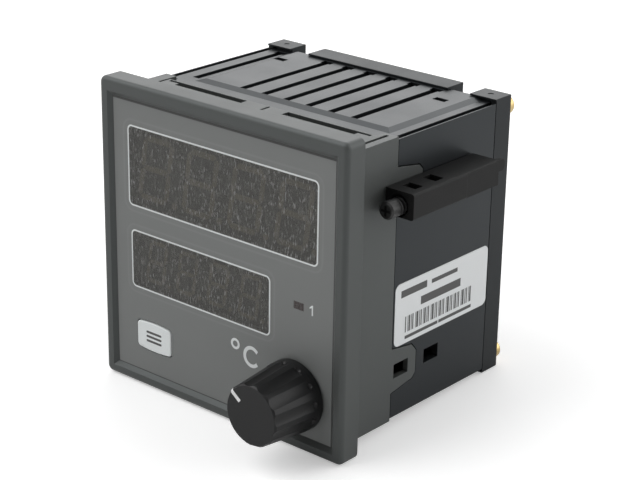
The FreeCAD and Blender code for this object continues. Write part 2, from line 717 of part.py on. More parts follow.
def make_frame():
    plate = rounded_block(
        "flange",
        ("-front_half", "front_half"),
        ("-flange_depth", "0"),
        ("-front_half", "front_half"),
        "flange_corner",
        "y",
    )
    front = size("-flange_depth")
    flange = round_edges("flange_rounded", plate, "front_edge", lambda edge: lies_at(edge, "y", front))
    collar = block(
        "collar",
        ("-collar_half_x", "collar_half_x"),
        ("wall_back", "collar_end"),
        ("-collar_half_z", "collar_half_z"),
    )
    hollow = block(
        "collar_hollow",
        ("collar_wall - collar_half_x", "collar_half_x - collar_wall"),
        ("wall_back", "collar_end + 1"),
        ("collar_wall - collar_half_z", "collar_half_z - collar_wall"),
    )
    tongues = four("tongues", tongue("tongue", "0", ("collar_half_x - collar_wall", "collar_half_x")))
    tongue_windows = four(
        "tongue_windows",
        block(
            "tongue_window",
            ("collar_half_x - collar_wall - 1", "collar_half_x + 1"),
            ("hook_front", "hook_rear"),
            ("hook_window_low", "hook_window_high"),
        ),
    )
    post = rod("post", "y", "post_radius", ("post_x", "post_z"), ("wall_back - 0.5", "display_board_front"))
    depth = ("wall_back", "display_board_front + 1")
    pilot = rod("post_pilot_hole", "y", "post_pilot", ("post_x", "post_z"), depth)

    slope = doc.addObject("Part::Wedge", "opening_slope")
    wide_x = "film_half_x + 2 * slope_width"
    for name, text in (
        ("Xmin", f"-({wide_x})"),
        ("Xmax", wide_x),
        ("Zmin", "film_low - 2 * slope_width"),
        ("Zmax", "film_high + 2 * slope_width"),
        ("Ymin", "film_face - 2 * slope_depth"),
        ("Ymax", "film_face"),
        ("X2min", "-film_half_x"),
        ("X2max", "film_half_x"),
        ("Z2min", "film_low"),
        ("Z2max", "film_high"),
    ):
        slope.setExpression(name, bound(text))
    film_pocket = block(
        "film_pocket",
        ("-film_half_x", "film_half_x"),
        ("film_face - 0.1", "film_back"),
        ("film_low", "film_high"),
    )

    wall = ("film_back - 1", "wall_back + 1")
    top_skin = ("collar_half_z - collar_wall - 1", "collar_half_z + 1")
    catch_y = ("catch_start", "catch_stop")
    side_slot_y = ("catch_stop - catch_side_length", "catch_stop")
    latch_cutters = [
        block("latch_shortening", ("latch_left", "latch_right"), ("latch_end", "collar_end + 1"), top_skin),
        block(
            "latch_slit",
            ("latch_left", "latch_left + slit_width"),
            ("slit_start", "latch_end + 1"),
            top_skin,
        ),
        block(
            "latch_middle_slit",
            ("slit_middle - slit_width / 2", "slit_middle + slit_width / 2"),
            ("slit_start", "latch_end + 1"),
            top_skin,
        ),
        block("catch_window_left", ("-catch_outer", "-catch_inner"), catch_y, top_skin),
        block("catch_window_right", ("catch_inner", "catch_outer"), catch_y, top_skin),
        block("side_slot_left", ("-catch_far", "0.1 - catch_outer"), side_slot_y, top_skin),
        block("side_slot_right", ("catch_outer - 0.1", "catch_far"), side_slot_y, top_skin),
        block(
            "corner_groove",
            ("post_groove - groove_half", "post_groove + groove_half"),
            ("collar_end - groove_front", "collar_end - groove_rear"),
            ("collar_half_z - groove_depth", "collar_half_z + 1"),
        ),
    ]
    latch_work = both("latch_work", fuse("latch_cutters", *latch_cutters), UPWARD)

    solid = fuse("frame_solid", flange, collar)
    hollowed = cut("frame_hollowed", solid, hollow)
    built = fuse("frame_built", hollowed, tongues, four("posts", post))
    return cut(
        "frame",
        built,
        slope,
        film_pocket,
        tongue_windows,
        four("post_pilots", pilot),
        latch_work,
        *window_cutters("upper_window", UPPER_X, UPPER_Z),
        *window_cutters("lower_window", LOWER_X, LOWER_Z),
        block("status_opening", STATUS_X, wall, STATUS_Z),
        key_outline("key_opening", "key_gap", wall),
        rod("bushing_opening", "y", "bushing_radius", ("knob_x", "knob_z"), wall),
    )


def make_film():
    """The printed film fills the opening and is cut out round everything that passes it."""
    thick = ("film_face - 1", "film_back + 1")
    sheet_blank = block(
        "film_blank",
        ("-film_half_x", "film_half_x"),
        ("film_face", "film_back"),
        ("film_low", "film_high"),
    )
    return cut(
        "film",
        sheet_blank,
        rounded_block("film_upper", UPPER_X, thick, UPPER_Z, "window_corner", "y"),
        rounded_block("film_lower", LOWER_X, thick, LOWER_Z, "window_corner", "y"),
        block("film_status", STATUS_X, thick, STATUS_Z),
        key_outline("film_key", "key_gap", thick),
        rod("film_bushing", "y", "bushing_radius", ("knob_x", "knob_z"), thick),
    )


def make_filter(name, x, z):
    return rounded_block(name, x, ("filter_face", "filter_back"), z, "window_corner", "y")


def make_module(name, x, z):
    """A four-digit display module on the display board."""
    gap = "(ledge + module_gap)"
    return block(name, inset(x, gap), ("module_face", "display_board_front"), inset(z, gap))


def make_status_window():
    pipe = block("status_pipe", STATUS_X, ("filter_face", "wall_back"), STATUS_Z)
    rim = block(
        "status_rim_plate",
        inset(STATUS_X, "-status_rim"),
        ("wall_back", "wall_back + status_rim_thick"),
        inset(STATUS_Z, "-status_rim"),
    )
    return fuse("status_light_pipe", pipe, rim)


def make_key():
    cap = key_outline("key_cap", "0", ("key_face", "key_flange_back"))
    face = size("key_face")
    softened = round_edges("key_cap_soft", cap, "key_soft", lambda edge: lies_at(edge, "y", face))
    flange = block(
        "key_flange_plate",
        ("key_x - key_half_x - key_flange", "key_x + key_half_x + key_flange"),
        ("key_flange_front", "key_flange_back"),
        ("key_z - key_half_z - key_flange", "key_z + key_half_z + key_flange"),
    )
    return fuse("key", softened, flange)


def make_key_switch():
    housing = block(
        "switch_housing",
        ("key_x - switch_half", "key_x + switch_half"),
        ("switch_front", "display_board_front"),
        ("key_z - switch_half", "key_z + switch_half"),
    )
    bore = rod(
        "switch_bore",
        "y",
        "plunger_radius + plunger_fit",
        ("key_x", "key_z"),
        ("switch_front - 1", "display_board_front - switch_floor"),
    )
    return cut("key_switch", housing, bore)


# --------------------------------------------------------------------- knob

POINTER_LINE = [
    ("pointer_start", "knob_face"),
    ("knob_face_radius", "knob_face"),
    ("knob_edge_radius", "knob_edge"),
    ("pointer_end_radius", "pointer_end"),
    ("pointer_end_radius - pointer_depth", "pointer_end"),
    ("knob_face_radius - pointer_depth", "knob_face + pointer_depth"),
    ("pointer_start", "knob_face + pointer_depth"),
]


def place_on_knob_axis(body):
    """Set a body drawn about its own Y axis on the knob's axis, pointer side outward."""
    turn = Rotation(Vector(0, 1, 0), -size("pointer_angle"))
    body.Placement = Placement(Vector(), turn)
    body.setExpression("Placement.Base.x", bound("knob_x"))
    body.setExpression("Placement.Base.z", bound("knob_z"))


def repeated(body, name, feature):
    """Repeat a feature round the body's Y axis, once for each flute."""
    pattern = body.newObject("PartDesign::PolarPattern", name)
    pattern.Originals = [feature]
    pattern.Axis = (plane_of(body, "Y_Axis"), [""])
    pattern.Angle = 360
    pattern.Occurrences = FLUTES
    body.Tip = pattern
    doc.recompute()


def make_knob():
    body = doc.addObject("PartDesign::Body", "knob")
    turned(body, "knob_turned", [
        ("0", "knob_face"),
        ("knob_face_radius", "knob_face"),
        ("knob_edge_radius", "knob_edge"),
        ("knob_skirt_radius", "knob_skirt"),
        ("knob_skirt_radius", "knob_base"),
        ("knob_hollow_radius", "knob_base"),
        ("knob_hollow_radius", "knob_hollow"),
        ("knob_hub_radius", "knob_hollow"),
        ("knob_hub_radius", "knob_hub"),
        ("shaft_radius", "knob_hub"),
        ("shaft_radius", "knob_bore"),
        ("0", "knob_bore"),
    ])
    doc.recompute()

    low = Vector(size("knob_skirt_radius"), size("knob_skirt"), 0)
    high = Vector(size("knob_edge_radius"), size("knob_edge"), 0)
    along = (high - low).normalize()
    outward = Vector(-along.y, along.x, 0)
    if outward.x < 0:
        outward = outward.negative()
    start = low + along * ((size("flute_end") - low.y) / along.y)
    step = Rotation(Vector(0, 1, 0), -180 / FLUTES)

    flute_axis = start + outward * size("flute_radius - flute_depth")
    flute = body.newObject("PartDesign::SubtractiveCylinder", "flute")
    flute.Placement = Placement(step.multVec(flute_axis), step.multiply(Rotation(Vector(0, 0, 1), along)))
    flute.setExpression("Radius", bound("flute_radius"))
    flute.setExpression("Height", bound("knob_length"))
    doc.recompute()
    repeated(body, "flutes", flute)

    dimple_centre = start + outward * size("flute_dimple - flute_dimple_depth")
    dimple = body.newObject("PartDesign::SubtractiveSphere", "flute_dimple")
    dimple.Placement = Placement(step.multVec(dimple_centre), Rotation())
    dimple.setExpression("Radius", bound("flute_dimple"))
    doc.recompute()
    repeated(body, "flute_dimples", dimple)

    groove = body.newObject("PartDesign::Pocket", "pointer_groove")
    groove.Profile = body_sketch(body, "pointer_groove_section", POINTER_LINE)
    groove.Midplane = True
    groove.setExpression("Length", bound("pointer_width"))
    body.Tip = groove
    place_on_knob_axis(body)
    return body


def make_pointer():
    body = doc.addObject("PartDesign::Body", "pointer")
    pad = body.newObject("PartDesign::Pad", "pointer_line")
    pad.Profile = body_sketch(body, "pointer_line_section", POINTER_LINE)
    pad.Midplane = True
    pad.setExpression("Length", bound("pointer_width"))
    place_on_knob_axis(body)
    return body


def make_potentiometer():
    axis = ("knob_x", "knob_z")
    can = rod("pot_can", "y", "pot_radius", axis, ("wall_back", "display_board_front"))
    bushing = rod("pot_bushing", "y", "bushing_radius", axis, ("bushing_end", "wall_back + 0.5"))
    bore = rod("pot_bore", "y", "shaft_radius + shaft_fit", axis, ("bushing_end - 1", "shaft_floor"))
    return cut("pot", fuse("pot_solid", can, bushing), bore)


def make_shaft():
    return rod("shaft", "y", "shaft_radius", ("knob_x", "knob_z"), ("knob_bore", "shaft_end"))


def make_washer():
    axis = ("knob_x", "knob_z")
    span = ("film_face - washer_thick", "film_face")
    return cut(
        "washer",
        rod("washer_disc", "y", "washer_radius", axis, span),
        rod("washer_hole", "y", "bushing_radius", axis, span),
    )


def make_nut():
    blank = doc.addObject("Part::Prism", "nut_blank")
    blank.Polygon = 6
    blank.Placement = Placement(Vector(), TURNS["y"])
    blank.setExpression("Circumradius", bound("nut_flats / 2 / 0.8660254"))
    blank.setExpression("Height", bound("nut_thick"))
    front = "film_face - washer_thick - nut_thick"
    put(blank, ("knob_x", front, "knob_z"))
    thread = rod("nut_hole", "y", "bushing_radius", ("knob_x", "knob_z"), (front, "film_face"))
    return cut("nut", blank, thread)


# --------------------------------------------------------------------- case

def slot_centres():
    row = [f"slot_first + {number} * slot_pitch" for number in range(VENTS)]
    return ["slot_single"] + row


def make_case():
    outside = block(
        "case_block",
        ("-case_half_x", "case_half_x"),
        ("case_front", "case_rear"),
        ("-case_half_z", "case_half_z"),
    )
    behind_latch = block(
        "case_latch_part",
        ("latch_left + 0.2", "latch_right - 0.2"),
        ("case_latch_front", "case_front + 1"),
        ("-case_half_z", "case_half_z"),
    )
    rear_part = block(
        "case_rear_part",
        ("-plate_half", "plate_half"),
        ("case_rear - 1", "plate_rear"),
        ("-case_half_z", "case_half_z"),
    )
    inside = block(
        "case_inside",
        ("case_wall - case_half_x", "case_half_x - case_wall"),
        ("case_latch_front - 1", "plate_rear + 1"),
        ("case_wall - case_half_z", "case_half_z - case_wall"),
    )
    wall_span = ("case_half_x - case_wall - 1", "case_half_x + 1")
    tongue_room = four("tongue_rooms", tongue("tongue_room", "tongue_gap", wall_span))
    solid = fuse("case_solid", outside, behind_latch, rear_part)
    shell = cut("case_hollowed", solid, inside, tongue_room)

    lip_x = "collar_half_x - collar_wall - lip_gap"
    lip_z = "collar_half_z - collar_wall - lip_gap"
    lip_span = ("lip_front", "lip_rear")
    lip_block = block("lip_block", (f"-({lip_x})", lip_x), lip_span, (f"-({lip_z})", lip_z))
    lip_inner_x = f"{lip_x} - lip_wall"
    lip_inner_z = f"{lip_z} - lip_wall"
    lip_hollow = block(
        "lip_hollow",
        (f"-({lip_inner_x})", lip_inner_x),
        ("lip_front - 1", "lip_rear + 1"),
        (f"-({lip_inner_z})", lip_inner_z),
    )
    lip = cut("lip", lip_block, lip_hollow)
    catches = [
        block(
            f"catch_{side}",
            inset(x, "catch_play"),
            ("catch_start + catch_play", "catch_start + catch_depth"),
            (f"{lip_z} - lip_wall / 2", f"{lip_z} + catch_height"),
        )
        for side, x in (
            ("left", ("-catch_outer", "-catch_inner")),
            ("right", ("catch_inner", "catch_outer")),
        )
    ]

    ribs = []
    for name, low in (("outer", "board_outside + rib_gap"), ("inner", "board_level - rib_gap - rib_thick")):
        ribs.append(block(
            f"rib_{name}",
            ("plate_half - rib_reach", "plate_half + case_wall / 4"),
            ("tongue_tip + rib_reach", "slot_rear"),
            (low, f"{low} + rib_thick"),
        ))
    boss = block(
        "boss",
        ("case_half_x - boss_width", "plate_half"),
        ("boss_front", "plate_rear"),
        ("case_half_z - boss_height", "case_half_z - case_wall / 4"),
    )
    boss_hole = rod(
        "boss_hole",
        "y",
        "cover_screw_shank",
        ("cover_screw_x", "cover_screw_z"),
        ("cover_screw_end - 1", "plate_rear + 1"),
    )

    skin = ("case_half_z - case_wall - 1", "field_half_z + 1")
    vents = []
    for number, centre in enumerate(slot_centres()):
        vents.append(block(
            f"vent_{number}",
            (f"{centre} - slot_width / 2", f"{centre} + slot_width / 2"),
            ("slot_front", "slot_rear"),
            skin,
        ))
        vents.append(block(
            f"vent_head_{number}",
            (f"{centre} - slot_head / 2", f"{centre} + slot_head / 2"),
            ("slot_rear - slot_head_depth", "slot_rear"),
            skin,
        ))
    tab_holes = [
        block(
            f"tab_hole_{side}",
            (start, f"{start} + tab_hole_length"),
            ("case_rear - tab_hole_front", "case_rear - tab_hole_rear"),
            skin,
        )
        for side, start in (
            ("left", "tab_hole_inset_left - case_half_x"),
            ("right", "case_half_x - tab_hole_inset_right - tab_hole_length"),
        )
    ]
    field = doc.addObject("Part::Wedge", "field")
    field.Placement = Placement(Vector(), Rotation(Vector(1, 0, 0), 90))
    for name, text in (
        ("Xmin", "field_margin_left - case_half_x"),
        ("Xmax", "case_half_x - field_margin_right"),
        ("Zmin", "-plate_rear"),
        ("Zmax", "-case_front - field_margin_front"),
        ("Ymin", "case_half_z - field_rise / 4"),
        ("Ymax", "field_half_z"),
        ("X2min", "field_margin_left + field_slope - case_half_x"),
        ("X2max", "case_half_x - field_margin_right - field_slope"),
        ("Z2min", "-plate_rear"),
        ("Z2max", "-case_front - field_margin_front - field_slope"),
    ):
        field.setExpression(name, bound(text))
    edge_groove = block(
        "edge_groove",
        ("case_half_x - edge_groove_far", "case_half_x - edge_groove_near"),
        ("case_front - 1", "plate_rear + 1"),
        ("case_half_z - edge_groove_depth", "case_half_z + 1"),
    )
    hook_rooms = [
        block(f"hook_room_{number}", wall_span, span, ("hook_window_low", "hook_window_high"))
        for number, span in enumerate((("hook_front", "hook_rear"), ("case_hook_front", "case_hook_rear")))
    ]

    built = fuse(
        "case_built",
        shell,
        lip,
        both("fields", field, UPWARD),
        both("catches", fuse("catch_pair", *catches), UPWARD),
        four("ribs", fuse("rib_pair", *ribs)),
        four("bosses", boss),
    )
    return cut(
        "case",
        built,
        both("top_work", fuse("top_cutters", *vents, *tab_holes), UPWARD),
        four("edge_grooves", edge_groove),
        four("side_windows", fuse("hook_room_pair", *hook_rooms)),
        four("boss_holes", boss_hole),
    )


# --------------------------------------------------------------- rear cover

BLOCK_HALF = f"{POLES} * pole_pitch / 2"


def make_cover():
    plate = block(
        "cover_plate_block",
        ("-case_half_x", "case_half_x"),
        ("cover_face - cover_plate", "cover_face"),
        ("-cover_plate_half_z", "cover_plate_half_z"),
    )
    side = block(
        "cover_side",
        ("case_half_x - cover_side_wall", "case_half_x"),
        ("cover_side_front", "cover_face"),
        ("-cover_half_z", "cover_half_z"),
    )
    lug_block = block(
        "lug_block",
        ("lug_inner_x", "case_half_x"),
        ("plate_rear", "cover_face"),
        ("case_half_z - lug_depth", "cover_half_z"),
    )
    lug_top = block(
        "lug_top",
        ("lug_inner_x", "case_half_x"),
        ("case_rear", "cover_face"),
        ("cover_clear_z", "cover_half_z"),
    )
    bar_wall = block(
        "bar_wall",
        ("-bar_half_x", "bar_half_x"),
        ("plate_rear + cover_clear", "cover_face"),
        ("cover_plate_half_z - 1", "bar_half_z"),
    )
    bar_top = block(
        "bar_top",
        ("-bar_half_x", "bar_half_x"),
        ("case_rear - bar_reach", "cover_face"),
        ("cover_clear_z", "bar_half_z"),
    )
    dimple = rod(
        "lug_dimple",
        "z",
        "lug_dimple_radius",
        ("case_half_x - lug_dimple_inset", "cover_face - lug_dimple_back"),
        ("cover_half_z - lug_dimple_depth", "cover_half_z + 1"),
    )
    block_window = block(
        "block_window",
        (f"-({BLOCK_HALF}) - block_gap", f"{BLOCK_HALF} + block_gap"),
        ("cover_face - cover_plate - 1", "cover_face + 1"),
        ("board_outside - block_gap", "board_outside + block_high + block_gap"),
    )
    screw_hole = rod(
        "cover_screw_opening",
        "y",
        "cover_screw_hole",
        ("cover_screw_x", "cover_screw_z"),
        ("plate_rear - 2", "cover_face + 1"),
    )
    built = fuse(
        "cover_built",
        plate,
        both("cover_sides", side, ACROSS),
        four("cover_lugs", fuse("cover_lug", lug_block, lug_top)),
        both("cover_bars", fuse("cover_bar", bar_wall, bar_top), UPWARD),
    )
    return cut(
        "cover",
        built,
        four("lug_dimples", dimple),
        both("block_windows", block_window, UPWARD),
        four("cover_screw_openings", screw_hole),
    )


def make_cover_screws():
    axis = ("cover_screw_x", "cover_screw_z")
    head_end = "cover_face + cover_screw_head_length"
    head = rod("cover_screw_head_disc", "y", "cover_screw_head", axis, ("cover_face", head_end))
    edge = size(head_end)
    domed = round_edges(
        "cover_screw_domed", head, "cover_screw_dome", lambda item: lies_at(item, "y", edge)
    )
    shank = rod("cover_screw_rod", "y", "cover_screw_shank", axis, ("cover_screw_end", "cover_face + 0.5"))
    recess = (f"{head_end} - cross_depth", f"{head_end} + 1")
    across = block(
        "cover_screw_cross_a",
        ("cover_screw_x - cross_half", "cover_screw_x + cross_half"),
        recess,
        ("cover_screw_z - cross_slot", "cover_screw_z + cross_slot"),
    )
    upright = block(
        "cover_screw_cross_b",
        ("cover_screw_x - cross_slot", "cover_screw_x + cross_slot"),
        recess,
        ("cover_screw_z - cross_half", "cover_screw_z + cross_half"),
    )
    screw = cut("cover_screw", fuse("cover_screw_solid", domed, shank), across, upright)
    return four("cover_screws", screw)


# ------------------------------------------------------- boards and terminals

def make_display_board():
    blank = block(
        "display_board_blank",
        ("-display_board_half_x", "display_board_half_x"),
        ("display_board_front", "display_board_back"),
        ("-display_board_half_z", "display_board_half_z"),
    )
    span = ("display_board_front - 1", "display_board_back + 1")
    hole = rod("display_board_hole", "y", "post_pilot", ("post_x", "post_z"), span)
    return cut("display_board", blank, four("display_board_holes", hole))


def make_display_screws():
    axis = ("post_x", "post_z")
    head_end = "display_board_back + post_head_length"
    head = rod("board_screw_head", "y", "post_head", axis, ("display_board_back", head_end))
    shank = rod("board_screw_shank", "y", "post_pilot", axis, ("wall_back + post_pilot", head_end))
    slot = block(
        "board_screw_slot",
        ("post_x - post_head - 1", "post_x + post_head + 1"),
        (f"{head_end} - post_head_length / 2.5", f"{head_end} + 1"),
        ("post_z - post_head / 7", "post_z + post_head / 7"),
    )
    screw = cut("board_screw", fuse("board_screw_solid", head, shank), slot)
    return four("board_screws", screw)


def inner_board(name, z):
    return block(name, ("-board_half_x", "board_half_x"), ("board_front", "board_rear"), z)


def make_headers():
    """Right-angle headers that join the display board to the two inner boards."""
    header = block(
        "header",
        ("-header_half", "header_half"),
        ("display_board_back", "board_front + header_high"),
        ("board_outside", "board_outside + header_high"),
    )
    return both("headers", header, UPWARD)


def pole_centres():
    return [f"({number} - {(POLES - 1) / 2}) * pole_pitch" for number in range(POLES)]


def make_terminal_block():
    housing = block(
        "terminal_housing",
        (f"-({BLOCK_HALF})", BLOCK_HALF),
        ("block_front", "block_rear"),
        ("board_outside", "board_outside + block_high"),
    )
    cutters = []
    for number, centre in enumerate(pole_centres()):
        axis = (centre, "board_outside + well_height")
        cutters.append(rod(f"well_{number}", "y", "well_radius", axis, ("well_floor", "block_rear + 1")))
        cutters.append(rod(f"well_thread_{number}", "y", "clamp_shank", axis, ("clamp_end", "block_rear")))
        middle = "board_outside + mouth_height"
        cutters.append(block(
            f"mouth_{number}",
            (f"{centre} - mouth_half", f"{centre} + mouth_half"),
            ("mouth_floor", "block_rear + 1"),
            (f"{middle} - mouth_half", f"{middle} + mouth_half"),
        ))
    return cut("terminal_block", housing, *cutters)


def make_terminal_screws():
    parts = []
    head_end = "well_floor + clamp_head_length"
    for number, centre in enumerate(pole_centres()):
        axis = (centre, "board_outside + well_height")
        parts.append(rod(f"clamp_head_{number}", "y", "clamp_head", axis, ("well_floor", head_end)))
        parts.append(rod(f"clamp_shank_{number}", "y", "clamp_shank", axis, ("clamp_end", head_end)))
    slot = block(
        "clamp_slots",
        (f"-({BLOCK_HALF})", BLOCK_HALF),
        (f"{head_end} - clamp_head_length / 2.5", f"{head_end} + 1"),
        ("board_outside + well_height - clamp_head / 6", "board_outside + well_height + clamp_head / 6"),
    )
    return cut("terminal_screws", fuse("terminal_screw_solids", *parts), slot)


def make_transformer():
    front = "case_rear - core_front"
    core = block(
        "transformer_core",
        ("core_x - core_half", "core_x + core_half"),
        (front, f"{front} + core_depth"),
        ("-board_level", "core_high - board_level"),
    )
    coil = block(
        "transformer_coil",
        ("core_x - coil_half", "core_x + coil_half"),
        (f"{front} - coil_reach", f"{front} + core_depth + coil_reach"),
        ("coil_margin - board_level", "core_high - board_level - coil_margin"),
    )
    return fuse("transformer_part", core, coil)


def make_relay():
    front = "case_rear - relay_front"
    return block(
        "relay",
        ("relay_x - relay_half", "relay_x + relay_half"),
        (front, f"{front} + relay_depth"),
        ("-board_level", "relay_high - board_level"),
    )


def make_capacitors():
    cans = [
        rod(
            f"can_{side}",
            "z",
            "can_radius",
            (f"can_x {sign} can_spread", "board_front + small_row"),
            ("-board_level", "can_high - board_level"),
        )
        for side, sign in (("left", "-"), ("right", "+"))
    ]
    return fuse("capacitor_pair", *cans)


def make_varistor():
    middle = "board_front + small_row + varistor_thick"
    disc = rod(
        "varistor_disc",
        "y",
        "varistor_radius",
        ("varistor_x", "varistor_lift + varistor_radius - board_level"),
        (f"{middle} - varistor_thick / 2", f"{middle} + varistor_thick / 2"),
    )
    leads = [
        rod(
            f"varistor_lead_{side}",
            "z",
            "lead_radius",
            (f"varistor_x {sign} lead_spread", middle),
            ("-board_level", "2 * varistor_lift - board_level"),
        )
        for side, sign in (("left", "-"), ("right", "+"))
    ]
    return fuse("varistor_part", disc, *leads)


def make_fuse():
    axis = ("fuse_x", "board_front + small_row + fuse_radius")
    return rod("fuse_can", "z", "fuse_radius", axis, ("-board_level", "fuse_high - board_level"))


def make_chip(name, x, half_x, half_y):
    middle = "board_front + chip_row"
    return block(
        name,
        (f"{x} - {half_x}", f"{x} + {half_x}"),
        (f"{middle} - {half_y}", f"{middle} + {half_y}"),
        ("board_outside", "board_outside + chip_thick"),
    )


# ----------------------------------------------------------- fixing brackets

HOOK_Z = ("hook_window_low + hook_side", "hook_window_high - hook_side")


def hook(name, window_rear, wall_inner):
    """A neck through a side window with a toe that catches behind the window's rear end."""
    neck_rear = f"{window_rear} - hook_play"
    toe_outer = f"{wall_inner} - bracket_gap"
    toe_inner = f"{toe_outer} - toe_thick"
    neck = block(
        name + "_neck",
        (toe_inner, "bracket_inner + 1"),
        (f"{neck_rear} - hook_neck", neck_rear),
        HOOK_Z,
    )
    toe_y = (f"{neck_rear} - 1", f"{neck_rear} + hook_toe")
    toe = block(name + "_toe", (toe_inner, toe_outer), toe_y, HOOK_Z)
    return [neck, toe]


def make_bracket():
    bar = block(
        "bracket_bar",
        ("bracket_inner", "bracket_outer"),
        ("bracket_front", "bracket_rear"),
        ("bracket_low", "bracket_high"),
    )
    outer = size("bracket_outer")
    rounded = round_edges(
        "bracket_rounded",
        bar,
        "bracket_round",
        lambda edge: runs_along(edge, "y") and lies_at(edge, "x", outer),
    )
    tab = block(
        "bracket_tab_block",
        ("bracket_outer - bracket_step_depth - tab_thick", "bracket_outer - bracket_step_depth"),
        ("bracket_rear - 1", "bracket_rear + tab_length"),
        ("hook_centre - tab_low", "hook_centre + tab_high"),
    )
    tab_end = size("bracket_rear + tab_length")
    tab_rounded = round_edges(
        "bracket_tab",
        tab,
        "tab_round",
        lambda edge: runs_along(edge, "x") and lies_at(edge, "y", tab_end),
    )
    axis = ("screw_x", "screw_z")
    bore_y = ("bracket_front - 1", "bracket_rear + 1")
    bore = rod("bracket_bore", "y", "screw_radius + screw_fit", axis, bore_y)
    ring_y = ("bracket_front - 1", "bracket_front + ring_depth")
    ring = rod("bracket_ring", "y", "ring_radius", axis, ring_y)
    sights = [
        block(
            f"sight_window_{name}",
            ("screw_x - sight_near", "screw_x + sight_far"),
            (f"bracket_front + sight_{name}", f"bracket_front + sight_{name} + sight_{name}_length"),
            ("screw_z", "bracket_high + 1"),
        )
        for name in ("one", "two")
    ]
    step = block(
        "bracket_step_cut",
        ("bracket_outer - bracket_step_depth", "bracket_outer + 1"),
        ("bracket_front + bracket_step", "bracket_rear + tab_length + 1"),
        ("bracket_low - 1", "bracket_high + 2"),
    )
    built = fuse(
        "bracket_built",
        rounded,
        tab_rounded,
        *hook("front_hook", "hook_rear", "collar_half_x - collar_wall"),
        *hook("rear_hook", "case_hook_rear", "case_half_x - case_wall"),
    )
    return cut("bracket", built, bore, ring, step, *sights)


def make_clamp_screw():
    body = doc.addObject("PartDesign::Body", "clamp_screw_body")
    turned(body, "clamp_screw_turned", [
        ("0", "screw_tip"),
        ("screw_radius - screw_point", "screw_tip"),
        ("screw_radius", "screw_tip + screw_point"),
        ("screw_radius", "screw_tail - screw_point"),
        ("screw_radius - screw_point", "screw_tail"),
        ("0", "screw_tail"),
    ])
    doc.recompute()
    slot = body.newObject("PartDesign::Pocket", "clamp_screw_slot")
    slot.Profile = body_sketch(body, "clamp_screw_slot_section", [
        ("-screw_radius - 1", "screw_tail - screw_slot_depth"),
        ("screw_radius + 1", "screw_tail - screw_slot_depth"),
        ("screw_radius + 1", "screw_tail + 1"),
        ("-screw_radius - 1", "screw_tail + 1"),
    ])
    slot.Midplane = True
    slot.setExpression("Length", bound("screw_slot"))
    body.Tip = slot
    body.setExpression("Placement.Base.x", bound("screw_x"))
    body.setExpression("Placement.Base.z", bound("screw_z"))
    return body


def make_label():
    return rounded_block(
        "label",
        ("case_half_x", "case_half_x + label_thick"),
        ("case_front + label_start", "case_rear - label_stop"),
        ("-tongue_low", "-label_top"),
        "label_corner",
        "x",
    )


# -------------------------------------------------------------------- nodes

plunger = rod("plunger", "y", "plunger_radius", ("key_x", "key_z"), ("key_flange_back", "plunger_end"))
status_led = block(
    "led",
    inset(STATUS_X, "lamp_gap"),
    ("wall_back + status_rim_thick + lamp_gap", "display_board_front"),
    inset(STATUS_Z, "lamp_gap"),
)
terminal_block = make_terminal_block()
terminal_screws = make_terminal_screws()
bracket = make_bracket()
clamp_screw = make_clamp_screw()

NODES = {
    "bezel_frame": make_frame(),
    "front_panel_film": make_film(),
    "upper_display_filter": make_filter("upper_filter", UPPER_X, UPPER_Z),
    "lower_display_filter": make_filter("lower_filter", LOWER_X, LOWER_Z),
    "status_window": make_status_window(),
    "upper_digit_module": make_module("upper_module", UPPER_X, UPPER_Z),
    "lower_digit_module": make_module("lower_module", LOWER_X, LOWER_Z),
    "status_led": status_led,
    "program_key": make_key(),
    "key_switch_body": make_key_switch(),
    "key_switch_plunger": plunger,
    "setpoint_knob": make_knob(),
    "knob_pointer": make_pointer(),
    "potentiometer_body": make_potentiometer(),
    "potentiometer_shaft": make_shaft(),
    "potentiometer_washer": make_washer(),
    "potentiometer_nut": make_nut(),
    "display_board": make_display_board(),
    "display_board_screws": make_display_screws(),
    "case_shell": make_case(),
    "rear_cover": make_cover(),
    "rear_cover_screws": make_cover_screws(),
    "right_bracket": bracket,
    "left_bracket": mirror("bracket_twin", bracket, ACROSS),
    "right_clamp_screw": clamp_screw,
    "left_clamp_screw": mirror("clamp_screw_twin", clamp_screw, ACROSS),
    "upper_terminal_block": terminal_block,
    "lower_terminal_block": mirror("terminal_block_twin", terminal_block, UPWARD),
    "upper_terminal_screws": terminal_screws,
    "lower_terminal_screws": mirror("terminal_screws_twin", terminal_screws, UPWARD),
    "measuring_board": inner_board("upper_board", ("board_level", "board_outside")),
    "power_board": inner_board("lower_board", ("-board_outside", "-board_level")),
    "board_headers": make_headers(),
    "transformer": make_transformer(),
    "output_relay": make_relay(),
    "filter_capacitors": make_capacitors(),
    "fuse": make_fuse(),
    "surge_varistor": make_varistor(),
    "microcontroller": make_chip("controller", "controller_x", "controller_half", "controller_half"),
    "converter_chip": make_chip("converter", "converter_x", "converter_half_x", "converter_half_y"),
    "side_label": make_label(),
}

doc.recompute()
for item in doc.Objects:
    if {"Invalid", "Error"} & set(item.State):
        raise RuntimeError(f"{item.Name} did not recompute: {item.State}")
for label, item in NODES.items():
    item.Label = label
    if item.Shape.isNull() or not item.Shape.isValid():
        raise RuntimeError(f"{label} has no valid shape")

os.makedirs("parts", exist_ok=True)
for label, item in NODES.items():
    item.Shape.exportStep(f"parts/{label}.step")
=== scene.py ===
import json
import math

import bmesh
import bpy
from mathutils import Matrix, Vector


